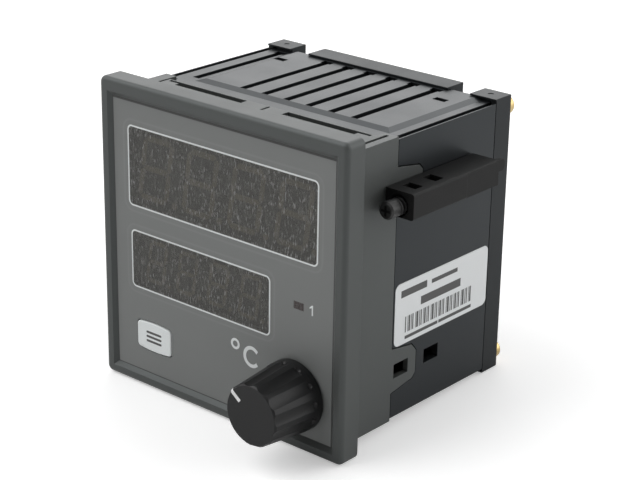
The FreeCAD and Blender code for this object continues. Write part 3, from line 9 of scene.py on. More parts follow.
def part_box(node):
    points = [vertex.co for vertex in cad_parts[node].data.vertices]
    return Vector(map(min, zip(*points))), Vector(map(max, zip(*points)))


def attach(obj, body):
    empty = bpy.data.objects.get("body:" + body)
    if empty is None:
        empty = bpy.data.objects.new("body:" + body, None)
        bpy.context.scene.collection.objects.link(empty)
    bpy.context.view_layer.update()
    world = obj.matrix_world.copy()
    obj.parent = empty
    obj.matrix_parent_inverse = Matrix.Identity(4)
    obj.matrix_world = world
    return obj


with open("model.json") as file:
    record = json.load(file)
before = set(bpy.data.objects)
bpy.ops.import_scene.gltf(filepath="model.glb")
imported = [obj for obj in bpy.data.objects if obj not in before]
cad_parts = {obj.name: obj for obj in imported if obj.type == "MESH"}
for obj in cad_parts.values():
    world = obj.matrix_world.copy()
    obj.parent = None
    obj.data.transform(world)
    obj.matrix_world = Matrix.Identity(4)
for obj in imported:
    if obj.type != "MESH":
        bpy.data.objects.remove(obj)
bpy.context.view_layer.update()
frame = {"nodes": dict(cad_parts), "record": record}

MM = 0.001

# Camera, in degrees and metres. AIM is how far the frame's origin lies right of and above the view's axis.
AZIMUTH = 40.293
ELEVATION = 21.269
ROLL = 1.014
DISTANCE = 0.52789
AIM = (-0.02500, -0.00588)
LENS = 101.775        # focal length in millimetres
SENSOR = 36           # sensor width in millimetres
CLIP = (0.01, 20)     # nearest and farthest distance seen

# Light level of the surroundings for all but the camera, and the share left on the camera's side.
WORLD_LEVEL = 0.45
CAMERA_SIDE = 0.35

# Glow of the floor as the camera sees it, and as it shows in reflections and through clear plastic.
FLOOR_SEEN = 0.38
FLOOR_MIRRORED = 0.12
FLOOR_HALF = 3.0           # half the floor's width, in metres
FLOOR_DROP = 0.05 * MM     # play between the object and the floor

FRONT = -1.0               # the front faces -Y
PRINT = 0.02 * MM          # thickness of printed ink
SINK = 0.01 * MM           # how far a printed or applied piece reaches into what carries it
WINDOW_CORNER = 1.2 * MM   # corner radius of both display windows
LINE_WIDTH = 0.5 * MM      # width of the line printed round each display window
SEGMENT_RISE = 0.05 * MM   # how far the digits' segments stand out of their module
DIGIT_SLANT = math.radians(9)

GRAIN_DEPTH = 0.02 * MM    # height of the finest relief on plastic, metal, film and paper
EDGE_SOFTNESS = 0.15 * MM  # radius that shading gives to the edges of mouldings
COOL = (0.80, 0.93, 1.0, 1.0)  # tint of the reflections on black plastic

# Sockets of the Mix node in its colour mode.
MIX_FACTOR, MIX_A, MIX_B, MIX_RESULT = 0, 6, 7, 2


def grey(value, tint=(1.0, 1.0, 1.0)):
    return (value * tint[0], value * tint[1], value * tint[2], 1.0)


# ------------------------------------------------------------ material nodes

class Nodes:
    """A material or world under construction: most calls add a node and return its output socket."""

    def __init__(self, owner, output="ShaderNodeOutputMaterial"):
        owner.use_nodes = True
        self.owner = owner
        self.tree = owner.node_tree
        self.tree.nodes.clear()
        self.output = self.tree.nodes.new(output)

    def set(self, socket, value):
        if isinstance(value, bpy.types.NodeSocket):
            self.tree.links.new(value, socket)
        elif value is not None:
            socket.default_value = value

    def add(self, kind, inputs=None, output=0, **settings):
        node = self.tree.nodes.new(kind)
        for key, value in settings.items():
            setattr(node, key, value)
        for key, value in (inputs or {}).items():
            self.set(node.inputs[key], value)
        return node.outputs[output]

    def place(self):
        return self.add("ShaderNodeTexCoord", output="Object")

    def stretch(self, scale, turn=(0, 0, 0)):
        return self.add("ShaderNodeMapping", {"Vector": self.place(), "Scale": scale, "Rotation": turn})

    def noise(self, size, detail=3.0, rough=0.5, vector=None):
        inputs = {
            "Vector": vector or self.place(),
            "Scale": 1 / size,
            "Detail": detail,
            "Roughness": rough,
        }
        return self.add("ShaderNodeTexNoise", inputs)

    def cells(self, size, randomness):
        inputs = {"Vector": self.place(), "Scale": 1 / size, "Randomness": randomness}
        return self.add("ShaderNodeTexVoronoi", inputs, output="Distance")

    def math(self, operation, a, b=None):
        node = self.tree.nodes.new("ShaderNodeMath")
        node.operation = operation
        for socket, value in zip(node.inputs, (a, b)):
            self.set(socket, value)
        return node.outputs[0]

    def total(self, a, b):
        return self.math("ADD", a, b)

    def less(self, a, b):
        return self.math("SUBTRACT", a, b)

    def times(self, a, b):
        return self.math("MULTIPLY", a, b)

    def lowest(self, a, b):
        return self.math("MINIMUM", a, b)

    def highest(self, a, b):
        return self.math("MAXIMUM", a, b)

    def size_of(self, a):
        return self.math("ABSOLUTE", a)

    def span(self, value, low, high, to_low, to_high):
        inputs = {"Value": value, "From Min": low, "From Max": high, "To Min": to_low, "To Max": to_high}
        return self.add("ShaderNodeMapRange", inputs)

    def below(self, value, low, high):
        """1 up to low, falling to 0 at high."""
        return self.span(value, low, high, 1.0, 0.0)

    def vary(self, noise, low, high, reach=0.2):
        """Spreads a noise's usual values, which lie that far either side of one half, over a range."""
        return self.span(noise, 0.5 - reach, 0.5 + reach, low, high)

    def blend(self, factor, a, b):
        node = self.tree.nodes.new("ShaderNodeMix")
        node.data_type = "RGBA"
        for socket, value in ((MIX_FACTOR, factor), (MIX_A, a), (MIX_B, b)):
            self.set(node.inputs[socket], value)
        return node.outputs[MIX_RESULT]

    def separate(self, vector):
        node = self.tree.nodes.new("ShaderNodeSeparateXYZ")
        self.set(node.inputs[0], vector)
        return node.outputs

    def bump(self, height, strength, depth, normal=None):
        inputs = {"Height": height, "Strength": strength, "Distance": depth, "Normal": normal}
        return self.add("ShaderNodeBump", inputs)

    def soft_edges(self, radius):
        return self.add("ShaderNodeBevel", {"Radius": radius}, samples=4)

    def rays(self, kind):
        return self.add("ShaderNodeLightPath", output=kind)

    def mirrored(self):
        """1 for rays that come by way of a reflection or through clear plastic."""
        return self.highest(self.rays("Is Glossy Ray"), self.rays("Is Transmission Ray"))

    def surface(self, **inputs):
        node = self.tree.nodes.new("ShaderNodeBsdfPrincipled")
        for key, value in inputs.items():
            self.set(node.inputs[key.replace("_", " ")], value)
        return node.outputs[0]

    def finish(self, shader):
        self.tree.links.new(shader, self.output.inputs["Surface"])
        return self.owner


def new_material(name):
    return Nodes(bpy.data.materials.new(name))


def shade(colour, factor):
    return tuple(min(1.0, part * factor) for part in colour[:3]) + (1.0,)


def moulded(name, colour, roughness, grain=0.12 * MM, relief=0.25, mottle=0.05, level=0.5,
            sheen=(1.0, 1.0, 1.0, 1.0)):
    """Moulded plastic: fine spark-eroded grain, faint cloudiness and slightly rounded edges."""
    n = new_material(name)
    cloud = n.noise(14 * MM, detail=4)
    fine = n.noise(grain, detail=2, rough=0.6)
    tone = n.blend(cloud, shade(colour, 1 - mottle), shade(colour, 1 + mottle))
    tone = n.blend(n.vary(fine, 0.0, 0.35, reach=0.15), tone, shade(colour, 0.8))
    rough = n.total(n.vary(cloud, roughness - 0.03, roughness + 0.03), n.vary(fine, -0.03, 0.03))
    normal = n.bump(fine, relief, GRAIN_DEPTH, n.soft_edges(EDGE_SOFTNESS))
    return n.finish(n.surface(
        Base_Color=tone, Roughness=rough, Normal=normal, Specular_IOR_Level=level, Specular_Tint=sheen))


def metal(name, colour, roughness, streak):
    """Plated or drawn metal: streaks along one direction, duller in patches."""
    n = new_material(name)
    lines = n.noise(0.2 * MM, vector=n.stretch(streak))
    patch = n.noise(2.5 * MM, detail=4)
    tone = n.blend(patch, shade(colour, 0.8), shade(colour, 1.1))
    rough = n.total(n.vary(patch, roughness - 0.06, roughness + 0.08), n.vary(lines, -0.04, 0.04))
    normal = n.bump(lines, 0.15, GRAIN_DEPTH, n.soft_edges(0.08 * MM))
    return n.finish(n.surface(Base_Color=tone, Metallic=1.0, Roughness=rough, Normal=normal))


def cloudy(name, grain, dark, light, gloss, dull):
    """Plain plastic whose colour and roughness wander between two values."""
    n = new_material(name)
    fine = n.noise(grain)
    tone = n.blend(fine, dark, light)
    return n.finish(n.surface(Base_Color=tone, Roughness=n.vary(fine, gloss, dull)))


def rounded_box_distance(n, centre, half, radius):
    """Distance outside a rounded rectangle in the XZ plane, from the object's own position."""
    x, _, z = n.separate(n.place())
    dx = n.less(n.size_of(n.less(x, centre[0])), half[0] - radius)
    dz = n.less(n.size_of(n.less(z, centre[1])), half[1] - radius)
    outer_x = n.highest(dx, 0.0)
    outer_z = n.highest(dz, 0.0)
    far = n.math("SQRT", n.total(n.times(outer_x, outer_x), n.times(outer_z, outer_z)))
    near = n.lowest(n.highest(dx, dz), 0.0)
    return n.less(n.total(far, near), radius)


def ridge(n, distance, place, width):
    """1 on a line that far out, falling to 0 within the width."""
    return n.below(n.size_of(n.less(distance, place)), 0.0, width)


# ------------------------------------------------------------------ mesh code

def add_to_scene(name, data):
    thing = bpy.data.objects.new(name, data)
    bpy.context.scene.collection.objects.link(thing)
    return thing


def add_piece(name, mesh_data, material, body):
    """Makes a printed or moulded piece from a finished mesh and lets it ride on a body."""
    mesh = bpy.data.meshes.new(name)
    bmesh.ops.recalc_face_normals(mesh_data, faces=mesh_data.faces)
    mesh_data.to_mesh(mesh)
    mesh_data.free()
    piece = add_to_scene(name, mesh)
    mesh.materials.append(material)
    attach(piece, body)


def rounded(low, high, radius, steps=8):
    """Points round a rectangle with round corners, counter-clockwise."""
    points = []
    corners = (
        (high[0] - radius, high[1] - radius, 0),
        (low[0] + radius, high[1] - radius, 90),
        (low[0] + radius, low[1] + radius, 180),
        (high[0] - radius, low[1] + radius, 270),
    )
    for cx, cz, start in corners:
        for step in range(steps + 1):
            angle = math.radians(start + 90 * step / steps)
            points.append((cx + radius * math.cos(angle), cz + radius * math.sin(angle)))
    return points


def extrude_outline(mesh, points, place, height=PRINT):
    """Adds a closed prism over an outline, rooted in the face. place takes (u, v, height)."""
    bottom = [mesh.verts.new(place(u, v, -SINK)) for u, v in points]
    top = [mesh.verts.new(place(u, v, height)) for u, v in points]
    count = len(points)
    for i in range(count):
        j = (i + 1) % count
        mesh.faces.new((bottom[i], bottom[j], top[j], top[i]))
    mesh.faces.new(bottom)
    mesh.faces.new(top)


def extrude_band(mesh, outer, inner, place, closed=True):
    """Adds a solid band between two lines with the same number of points. closed joins its ends."""
    rings = [[mesh.verts.new(place(u, v, height)) for u, v in line]
             for line, height in ((outer, -SINK), (outer, PRINT), (inner, PRINT), (inner, -SINK))]
    count = len(outer)
    last = count if closed else count - 1
    for i in range(last):
        j = (i + 1) % count
        for a, b in ((0, 1), (1, 2), (2, 3), (3, 0)):
            mesh.faces.new((rings[a][i], rings[a][j], rings[b][j], rings[b][i]))
    if not closed:
        for i in (0, count - 1):
            mesh.faces.new([ring[i] for ring in rings])


def front_of(y):
    """Places an outline drawn in X and Z on a front plane: heights count toward the viewer."""
    return lambda u, v, height: Vector((u, y + FRONT * height, v))


def side_of(x):
    """Places an outline drawn in Y and Z on the right side: heights count outward."""
    return lambda u, v, height: Vector((x + height, u, v))


def ellipse_arc(centre, radii, start, end, steps):
    points = []
    for step in range(steps + 1):
        angle = math.radians(start + (end - start) * step / steps)
        points.append((centre[0] + radii[0] * math.cos(angle), centre[1] + radii[1] * math.sin(angle)))
    return points


def circle(centre, radius, count):
    """That many points round a circle, the last one a step before the first."""
    return ellipse_arc(centre, (radius, radius), 0, 360 - 360 / count, count - 1)


# ------------------------------------------------------------------ materials

BEZEL = moulded("bezel_grey", grey(0.060, (0.98, 1.03, 0.99)), 0.46, relief=0.2, level=0.52,
                sheen=(0.90, 0.98, 1.0, 1.0))
CASE = moulded("case_black", grey(0.009, (0.94, 0.99, 1.10)), 0.36, relief=0.2, mottle=0.12, level=0.34,
               sheen=COOL)
COVER = moulded("cover_black", grey(0.013, (0.97, 1.0, 1.05)), 0.42, relief=0.25, mottle=0.12, level=0.23,
                sheen=COOL)
BRACKET = moulded("bracket_black", grey(0.0065), 0.52, relief=0.3, mottle=0.15, level=0.18)
KNOB = moulded("knob_black", grey(0.008, (1.0, 1.0, 1.05)), 0.40, relief=0.35, mottle=0.15, level=0.30)
POINTER = moulded("pointer_paint", grey(0.86), 0.5, relief=0.1, mottle=0.03)
KEY = moulded("key_light_grey", grey(0.88, (0.96, 1.0, 1.0)), 0.45, relief=0.15, mottle=0.03)
SWITCH = moulded("switch_black", grey(0.02), 0.4, mottle=0.1)
MODULE = moulded("module_face", grey(0.02), 0.5, mottle=0.1)
CHIP = moulded("chip_black", grey(0.02), 0.55, grain=0.06 * MM, relief=0.4)
TERMINAL = moulded("terminal_black", grey(0.02), 0.45, mottle=0.1)
RELAY = moulded("relay_blue_black", (0.02, 0.03, 0.07, 1), 0.35, mottle=0.08)
CAN = moulded("capacitor_sleeve", (0.02, 0.02, 0.05, 1), 0.3, mottle=0.1)
COAT = moulded("varistor_coat", (0.02, 0.12, 0.38, 1), 0.4, grain=0.4 * MM, relief=0.4)
IRON = moulded("transformer_varnish", (0.07, 0.06, 0.05, 1), 0.4, grain=0.5 * MM, relief=0.5, mottle=0.25)
INK = moulded("white_ink", grey(0.82, (0.97, 1.0, 1.0)), 0.5, grain=0.08 * MM, relief=0.15, mottle=0.05)
DARK_INK = moulded("dark_ink", grey(0.07), 0.5, grain=0.08 * MM, relief=0.15, mottle=0.1)

PLATED = metal("zinc_plate", grey(0.6), 0.3, (1, 8, 1))
YELLOW = metal("yellow_zinc", (0.62, 0.47, 0.22, 1), 0.32, (1, 8, 1))
POT = metal("potentiometer_metal", grey(0.5), 0.35, (1, 6, 1))


def make_film():
    """Satin printed film: an embossed line outside each window, painted shade along its edges under the
    frame's lip, and a soft cloudiness.
    """
    line_out, line_fade = 2.1 * MM, 0.5 * MM
    lip_shade_solid, lip_shade_fade, lip_shade_top = 0.15 * MM, 0.35 * MM, 0.45 * MM
    n = new_material("panel_film")
    colour = grey(0.180, (0.98, 1.02, 1.0))
    cloud = n.noise(20 * MM)
    fine = n.noise(0.1 * MM, detail=2, rough=0.6)
    tone = n.blend(cloud, shade(colour, 0.96), shade(colour, 1.04))
    tone = n.blend(n.vary(fine, 0.0, 0.25, reach=0.15), tone, shade(colour, 0.85))
    lines = []
    for node in ("upper_display_filter", "lower_display_filter"):
        low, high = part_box(node)
        centre = ((low.x + high.x) / 2, (low.z + high.z) / 2)
        half = ((high.x - low.x) / 2, (high.z - low.z) / 2)
        distance = rounded_box_distance(n, centre, half, WINDOW_CORNER)
        lines.append(ridge(n, distance, line_out, line_fade))
    emboss = n.highest(*lines)
    tone = n.blend(n.times(emboss, 0.5), tone, shade(colour, 1.25))
    # Painted shade: a near-black band along the film's edges, wider at the top, stands in for the shadow
    # under the frame's lip.
    low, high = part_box("front_panel_film")
    x, _, z = n.separate(n.place())
    side = n.less(high.x, n.size_of(x))
    end = n.lowest(n.less(high.z - lip_shade_top, z), n.less(z, low.z))
    lip_shade = n.below(n.lowest(side, end), lip_shade_solid, lip_shade_fade)
    tone = n.blend(lip_shade, tone, shade(colour, 0.12))
    relief = n.bump(emboss, 0.5, 0.05 * MM)
    normal = n.bump(fine, 0.2, GRAIN_DEPTH, relief)
    return n.finish(n.surface(Base_Color=tone, Roughness=n.vary(fine, 0.42, 0.5), Normal=normal))


def make_filter():
    """Smoky window: its front face is coated with upright flecks and painted glints, and the digits show
    through faintly.
    """
    coat_solid, coat_fade = 0.2 * MM, 0.3 * MM
    coat_share = 0.60
    n = new_material("smoky_filter")
    cloud = n.noise(9 * MM)
    fleck = n.noise(0.75 * MM, detail=2, rough=0.6, vector=n.stretch((1.0, 1.0, 0.26)))
    painted_glint = n.noise(0.55 * MM, detail=1, rough=0.6, vector=n.stretch((1.2, 1.0, 0.3), (0, 0.04, 0)))
    tone = n.blend(cloud, grey(0.095, (1.0, 0.99, 0.92)), grey(0.125, (1.0, 1.0, 0.96)))
    tone = n.blend(n.span(fleck, 0.48, 0.62, 0.0, 0.65), tone, grey(0.19, (1.0, 0.99, 0.93)))
    # Painted glints: sparse light specks painted into the coat's colour.
    tone = n.blend(n.span(painted_glint, 0.62, 0.70, 0.0, 0.9), tone, grey(0.40))
    normal = n.bump(fleck, 0.3, 0.03 * MM)
    coat = n.surface(
        Base_Color=tone, Roughness=n.vary(fleck, 0.30, 0.45), Normal=normal, Specular_IOR_Level=0.35)
    clear = n.add("ShaderNodeBsdfTransparent", {"Color": (0.86, 0.85, 0.80, 1)})
    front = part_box("upper_display_filter")[0].y
    depth = n.separate(n.place())[1]
    covered = n.span(depth, front + coat_solid, front + coat_fade, coat_share, 0.0)
    return n.finish(n.add("ShaderNodeMixShader", {0: covered, 1: clear, 2: coat}))


def make_board():
    """Green solder mask with raised tracks and a scatter of tinned pads."""
    pad_pitch = 2.54 * MM
    track_scale, track_width = 260.0, 0.012
    n = new_material("circuit_board")
    tracks = n.add("ShaderNodeTexBrick", {
        "Vector": n.place(), "Scale": track_scale, "Mortar Size": track_width,
        "Color1": grey(0.0), "Color2": grey(0.25), "Mortar": grey(1.0)})
    tone = n.blend(tracks, (0.010, 0.085, 0.035, 1), (0.03, 0.20, 0.09, 1))
    pad = n.below(n.cells(pad_pitch, randomness=0.35), 0.10, 0.13)
    tone = n.blend(pad, tone, (0.6, 0.6, 0.58, 1))
    rough = n.span(pad, 0.0, 1.0, 0.28, 0.38)
    normal = n.bump(tracks, 0.3, 0.03 * MM)
    return n.finish(n.surface(Base_Color=tone, Metallic=pad, Roughness=rough, Normal=normal))


def make_paper():
    """White satin label stock with faint fibres."""
    tint = (0.97, 1.0, 1.01)
    n = new_material("label_paper")
    fibre = n.noise(0.4 * MM, detail=5, rough=0.7, vector=n.stretch((1, 0.4, 1)))
    cloud = n.noise(12 * MM, detail=2)
    tone = n.blend(fibre, grey(0.74, tint), grey(0.80, tint))
    tone = n.blend(n.vary(cloud, 0.0, 0.3), tone, grey(0.74))
    normal = n.bump(fibre, 0.12, GRAIN_DEPTH)
    return n.finish(n.surface(Base_Color=tone, Roughness=n.vary(fibre, 0.4, 0.5), Normal=normal))


def make_thread():
    """Blackened steel: a thread round each clamp screw's axis, in bump with painted shade in its grooves, a
    plain tip and a cross in its end painted dark as the shade of a recess.
    """
    pitch = 1.5 * MM
    plain_end, thread_start = 3.6 * MM, 4.6 * MM
    arm_solid, arm_fade = 0.3 * MM, 0.4 * MM
    reach_solid, reach_fade = 1.5 * MM, 1.6 * MM
    end_solid, end_fade = 0.02 * MM, 0.05 * MM
    n = new_material("clamp_screw_steel")
    low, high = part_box("right_clamp_screw")
    x, y, z = n.separate(n.place())
    aside = n.less(n.size_of(x), (low.x + high.x) / 2)
    lift = n.less(z, (low.z + high.z) / 2)
    turn = n.math("DIVIDE", n.math("ARCTAN2", lift, aside), 2 * math.pi)
    climb = n.total(n.math("DIVIDE", y, pitch), n.times(turn, n.math("SIGN", x)))
    plain = n.below(y, low.y + plain_end, low.y + thread_start)
    crest = n.highest(n.math("PINGPONG", climb, 0.5), n.times(plain, 0.5))
    off_x, off_z = n.size_of(aside), n.size_of(lift)
    arm = n.below(n.lowest(off_x, off_z), arm_solid, arm_fade)
    reach = n.below(n.highest(off_x, off_z), reach_solid, reach_fade)
    at_end = n.below(y, low.y + end_solid, low.y + end_fade)
    cross = n.times(n.times(arm, reach), at_end)
    patch = n.noise(2 * MM, detail=4)
    steel = n.blend(patch, grey(0.035), grey(0.055))
    # Painted shade: the thread's grooves, which are only bump, are painted near-black as if in shade.
    tone = n.blend(n.span(crest, 0.05, 0.4, 0.0, 1.0), grey(0.008), steel)
    # Painted shade: the cross is only painted near-black, in place of a recess and its shade.
    tone = n.blend(cross, tone, grey(0.004))
    normal = n.bump(crest, 0.9, 0.5 * MM, n.soft_edges(0.1 * MM))
    return n.finish(n.surface(
        Base_Color=tone, Metallic=0.8, Roughness=n.vary(patch, 0.36, 0.5), Normal=normal))


FILM = make_film()
FILTER = make_filter()
STATUS_LENS = cloudy("status_lens", 0.3 * MM, (0.022, 0.016, 0.015, 1), (0.045, 0.032, 0.030, 1), 0.2, 0.35)
SEGMENT = cloudy("segment_lens", 0.5 * MM, (0.20, 0.17, 0.13, 1), (0.30, 0.25, 0.20, 1), 0.35, 0.5)
LAMP = cloudy("status_lamp", 0.4 * MM, (0.40, 0.05, 0.04, 1), (0.55, 0.09, 0.06, 1), 0.15, 0.3)
BOARD = make_board()
PAPER = make_paper()
THREAD = make_thread()

MATERIAL_OF_SLOT = {
    "bezel_plastic": BEZEL,
    "panel_film": FILM,
    "display_filter": FILTER,
    "status_lens": STATUS_LENS,
    "module_plastic": MODULE,
    "lamp_plastic": LAMP,
    "key_plastic": KEY,
    "switch_plastic": SWITCH,
    "knob_plastic": KNOB,
    "pointer_white": POINTER,
    "pot_metal": POT,
    "circuit_board": BOARD,
    "plain_screws": PLATED,
    "case_plastic": CASE,
    "cover_plastic": COVER,
    "yellow_screws": YELLOW,
    "bracket_plastic": BRACKET,
    "clamp_screws": THREAD,
    "terminal_plastic": TERMINAL,
    "transformer_iron": IRON,
    "relay_plastic": RELAY,
    "capacitor_can": CAN,
    "varistor_coat": COAT,
    "chip_plastic": CHIP,
    "label_paper": PAPER,
}

for part in frame["record"]["subparts"]:
    carried = frame["nodes"][part["node"]]
    carried.data.materials.clear()
    carried.data.materials.append(MATERIAL_OF_SLOT[part["material_slot"]])


# ---------------------------------------------------------- printed front panel

on_film = front_of(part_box("front_panel_film")[0].y)


def window_line(name, node):
    """Thin light line printed round a window."""
    low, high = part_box(node)
    inner = rounded((low.x, low.z), (high.x, high.z), WINDOW_CORNER)
    outer = rounded((low.x - LINE_WIDTH, low.z - LINE_WIDTH), (high.x + LINE_WIDTH, high.z + LINE_WIDTH),
                    WINDOW_CORNER + LINE_WIDTH)
    mesh = bmesh.new()
    extrude_band(mesh, outer, inner, on_film)
    add_piece(name, mesh, INK, "housing")


window_line("upper_window_line", "upper_display_filter")
window_line("lower_window_line", "lower_display_filter")


def unit_mark():
    """The unit, a small ring and a capital C, up and left of the knob."""
    ring_outer, ring_inner = 1.75 * MM, 0.95 * MM
    letter_outer, letter_inner = (3.3 * MM, 3.4 * MM), (2.2 * MM, 2.3 * MM)
    ring_points, letter_steps = 36, 56
    low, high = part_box("setpoint_knob")
    knob = (low + high) / 2
    mesh = bmesh.new()
    ring = (knob.x - 23.4 * MM, knob.z + 8.6 * MM)
    extrude_band(mesh, circle(ring, ring_outer, ring_points), circle(ring, ring_inner, ring_points), on_film)
    letter = (knob.x - 16.9 * MM, knob.z + 6.3 * MM)
    outer = ellipse_arc(letter, letter_outer, 42, 318, letter_steps)
    inner = ellipse_arc(letter, letter_inner, 36, 324, letter_steps)
    extrude_band(mesh, outer, inner, on_film, closed=False)
    add_piece("unit_mark", mesh, INK, "housing")


unit_mark()


def channel_number():
    """The numeral 1 beside the status lamp."""
    half_height, stem_width = 1.55 * MM, 0.45 * MM
    low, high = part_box("status_window")
    left = high.x + 1.0 * MM
    middle = (low.z + high.z) / 2
    top = middle + half_height
    foot = middle - half_height
    stem = left + 1.15 * MM
    flag = left + 0.35 * MM
    outline = [
        (stem, foot), (stem + stem_width, foot), (stem + stem_width, top), (stem + 0.05 * MM, top),
        (flag, top - 0.75 * MM), (flag, top - 1.15 * MM), (stem, top - 0.8 * MM),
    ]
    mesh = bmesh.new()
    extrude_outline(mesh, outline, on_film)
    add_piece("channel_number", mesh, INK, "housing")


channel_number()


def key_symbol():
    """Three plain bars, the usual sign for a menu."""
    half_length, half_height, corner, spacing = 3.2 * MM, 0.36 * MM, 0.3 * MM, 1.45 * MM
    low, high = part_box("program_key")
    centre = (low + high) / 2
    mesh = bmesh.new()
    for row in (-1, 0, 1):
        z = centre.z + row * spacing
        start = (centre.x - half_length, z - half_height)
        end = (centre.x + half_length, z + half_height)
        extrude_outline(mesh, rounded(start, end, corner, 4), front_of(low.y))
    add_piece("key_symbol", mesh, DARK_INK, "key")


key_symbol()


# ------------------------------------------------------------------- displays

# The seven segments of a digit, from one corner to the next, in shares of its width and height.
SEGMENTS = (
    ((0, 1), (1, 1)),
    ((0, 0.5), (1, 0.5)),
    ((0, 0), (1, 0)),
    ((0, 0.5), (0, 1)),
    ((0, 0), (0, 0.5)),
    ((1, 0.5), (1, 1)),
    ((1, 0), (1, 0.5)),
)


def segment_outline(start, end, thick, gap):
    """A long hexagon from one corner of a digit to the next."""
    start, end = Vector(start), Vector(end)
    along = (end - start).normalized()
    across = Vector((-along.y, along.x)) * thick / 2
    a = start + along * gap
    b = end - along * gap
    point = along * thick / 2
    return [a, a + point + across, b - point + across, b, b - point - across, a + point - across]


def digits(name, node, pitch, size, thick):
    """Four unlit seven-segment digits with their points, on a module's face."""
    segment_gap = 0.2 * MM
    count, dot_points = 4, 24
    low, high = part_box(node)
    centre = (low + high) / 2
    mesh = bmesh.new()
    place = front_of(low.y)

    def leaning(u, v, height):
        return place(u + (v - centre.z) * math.tan(DIGIT_SLANT), v, height)

    for index in range(count):
        left = centre.x + (index - (count - 1) / 2) * pitch - size[0] / 2
        foot = centre.z - size[1] / 2
        for segment in SEGMENTS:
            start, end = [(left + u * size[0], foot + v * size[1]) for u, v in segment]
            outline = segment_outline(start, end, thick, segment_gap)
            extrude_outline(mesh, outline, leaning, SEGMENT_RISE)
        dot = (left + size[0] + 2.0 * thick, foot)
        extrude_outline(mesh, circle(dot, thick * 0.6, dot_points), leaning, SEGMENT_RISE)
    add_piece(name, mesh, SEGMENT, "housing")


digits("upper_digits", "upper_digit_module", 18.1 * MM, (10.8 * MM, 18.6 * MM), 1.8 * MM)
digits("lower_digits", "lower_digit_module", 12.6 * MM, (6.6 * MM, 12.6 * MM), 1.3 * MM)


# ----------------------------------------------------------------- side label

def label_marks():
    """Plain bars and stripes in place of print, which say nothing."""
    low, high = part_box("side_label")
    span = high.y - low.y
    mesh = bmesh.new()
    place = side_of(high.x)

    def bar(y0, y1, z0, z1):
        extrude_outline(mesh, [(y0, z0), (y1, z0), (y1, z1), (y0, z1)], place)

    # A row of upright stripes across the label's lower half.
    start = low.y + 0.11 * span
    end = high.y - 0.17 * span
    widths = (0.45, 0.25, 0.7, 0.3, 0.5, 0.25, 0.9, 0.35)
    y, index = start, 0
    while y < end:
        width = widths[index % len(widths)] * MM
        bar(y, y + width, low.z + 3.4 * MM, low.z + 8.4 * MM)
        y += width + widths[(index * 3 + 2) % len(widths)] * MM
        index += 1

    # Two bars below the stripes, one above them and two along the top.
    bar(start, start + 0.35 * span, low.z + 1.3 * MM, low.z + 2.3 * MM)
    bar(end - 0.36 * span, end, low.z + 1.3 * MM, low.z + 2.3 * MM)
    bar(low.y + 0.27 * span, high.y - 0.30 * span, low.z + 10.0 * MM, low.z + 12.6 * MM)
    bar(low.y + 0.06 * span, low.y + 0.33 * span, high.z - 4.6 * MM, high.z - 2.4 * MM)
    bar(low.y + 0.38 * span, high.y - 0.34 * span, high.z - 4.2 * MM, high.z - 2.9 * MM)
    add_piece("label_marks", mesh, DARK_INK, "housing")


label_marks()


# --------------------------------------------------------------------- studio

def toward(azimuth, elevation):
    """Direction from the object, with azimuth 0 straight out of its front and 90 out of its right side."""
    a, e = math.radians(azimuth), math.radians(elevation)
    return Vector((math.sin(a) * math.cos(e), -math.cos(a) * math.cos(e), math.sin(e)))


def make_floor():
    """Pale floor that touches the front frame's and the rear cover's lowest edges."""
    front_low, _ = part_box("bezel_frame")
    rear_low, rear_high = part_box("rear_cover")
    slope = (rear_low.z - front_low.z) / rear_high.y
    corners = [(-FLOOR_HALF, -FLOOR_HALF), (FLOOR_HALF, -FLOOR_HALF),
               (FLOOR_HALF, FLOOR_HALF), (-FLOOR_HALF, FLOOR_HALF)]
    mesh = bmesh.new()
    mesh.faces.new([mesh.verts.new((x, y, front_low.z - FLOOR_DROP + slope * y)) for x, y in corners])
    data = bpy.data.meshes.new("floor")
    mesh.to_mesh(data)
    mesh.free()
    floor = add_to_scene("floor", data)
    n = new_material("floor_white")
    grain = n.noise(6 * MM, detail=4)
    tone = n.blend(grain, grey(0.90), grey(0.93))
    level = n.total(n.times(n.rays("Is Camera Ray"), FLOOR_SEEN), n.times(n.mirrored(), FLOOR_MIRRORED))
    paper = n.add("ShaderNodeBsdfDiffuse", {"Color": tone})
    glow = n.add("ShaderNodeEmission", {"Color": grey(1.0), "Strength": level})
    data.materials.append(n.finish(n.add("ShaderNodeAddShader", {0: paper, 1: glow})))


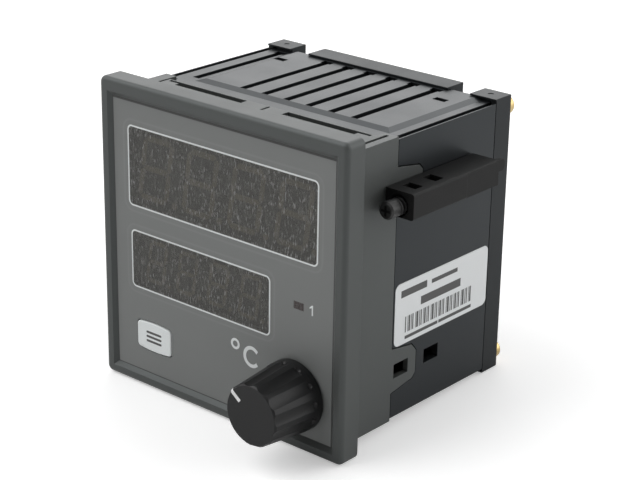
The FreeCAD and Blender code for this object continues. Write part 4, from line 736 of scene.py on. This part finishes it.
def make_world():
    """White surroundings, dimmer on the camera's side for all but what the camera itself sees."""
    dim_start, dim_end = 0.2, 0.9    # cosines of the angle to the camera's azimuth
    world = bpy.data.worlds.new("studio")
    bpy.context.scene.world = world
    n = Nodes(world, "ShaderNodeOutputWorld")
    seen = n.highest(n.rays("Is Camera Ray"), n.mirrored())
    x, y, _ = n.separate(n.add("ShaderNodeTexCoord", output="Generated"))
    ahead = toward(AZIMUTH, 0)
    facing = n.total(n.times(x, ahead.x), n.times(y, ahead.y))
    dim = n.highest(n.span(facing, dim_start, dim_end, 1.0, CAMERA_SIDE), n.rays("Is Camera Ray"))
    level = n.times(n.span(seen, 0.0, 1.0, WORLD_LEVEL, 1.0), dim)
    n.finish(n.add("ShaderNodeBackground", {"Color": grey(1.0), "Strength": level}))


def make_sun(name, azimuth, elevation, strength, spread):
    """A soft light from far off."""
    lamp = bpy.data.lights.new(name, "SUN")
    lamp.energy = strength
    lamp.angle = math.radians(spread)
    sun = add_to_scene(name, lamp)
    sun.rotation_mode = "QUATERNION"
    sun.rotation_quaternion = (-toward(azimuth, elevation)).to_track_quat("-Z", "Y")


def make_camera():
    a, roll = math.radians(AZIMUTH), math.radians(ROLL)
    back = toward(AZIMUTH, ELEVATION)
    level = Vector((math.cos(a), math.sin(a), 0))
    rise = back.cross(level)
    right = level * math.cos(roll) + rise * math.sin(roll)
    up = rise * math.cos(roll) - level * math.sin(roll)
    data = bpy.data.cameras.new("camera")
    data.lens = LENS
    data.sensor_width = SENSOR
    data.clip_start, data.clip_end = CLIP
    camera = add_to_scene("camera", data)
    turn = Matrix((right, up, back)).transposed().to_4x4()
    camera.matrix_world = Matrix.Translation(back * DISTANCE - right * AIM[0] - up * AIM[1]) @ turn
    bpy.context.scene.camera = camera


make_floor()
make_world()
make_sun("key_light", azimuth=-50, elevation=50, strength=1.3, spread=50)
make_sun("side_light", azimuth=130, elevation=25, strength=1.1, spread=60)
make_sun("back_light", azimuth=215, elevation=32, strength=0.68, spread=50)
make_camera()
bpy.context.scene.view_settings.view_transform = "Standard"
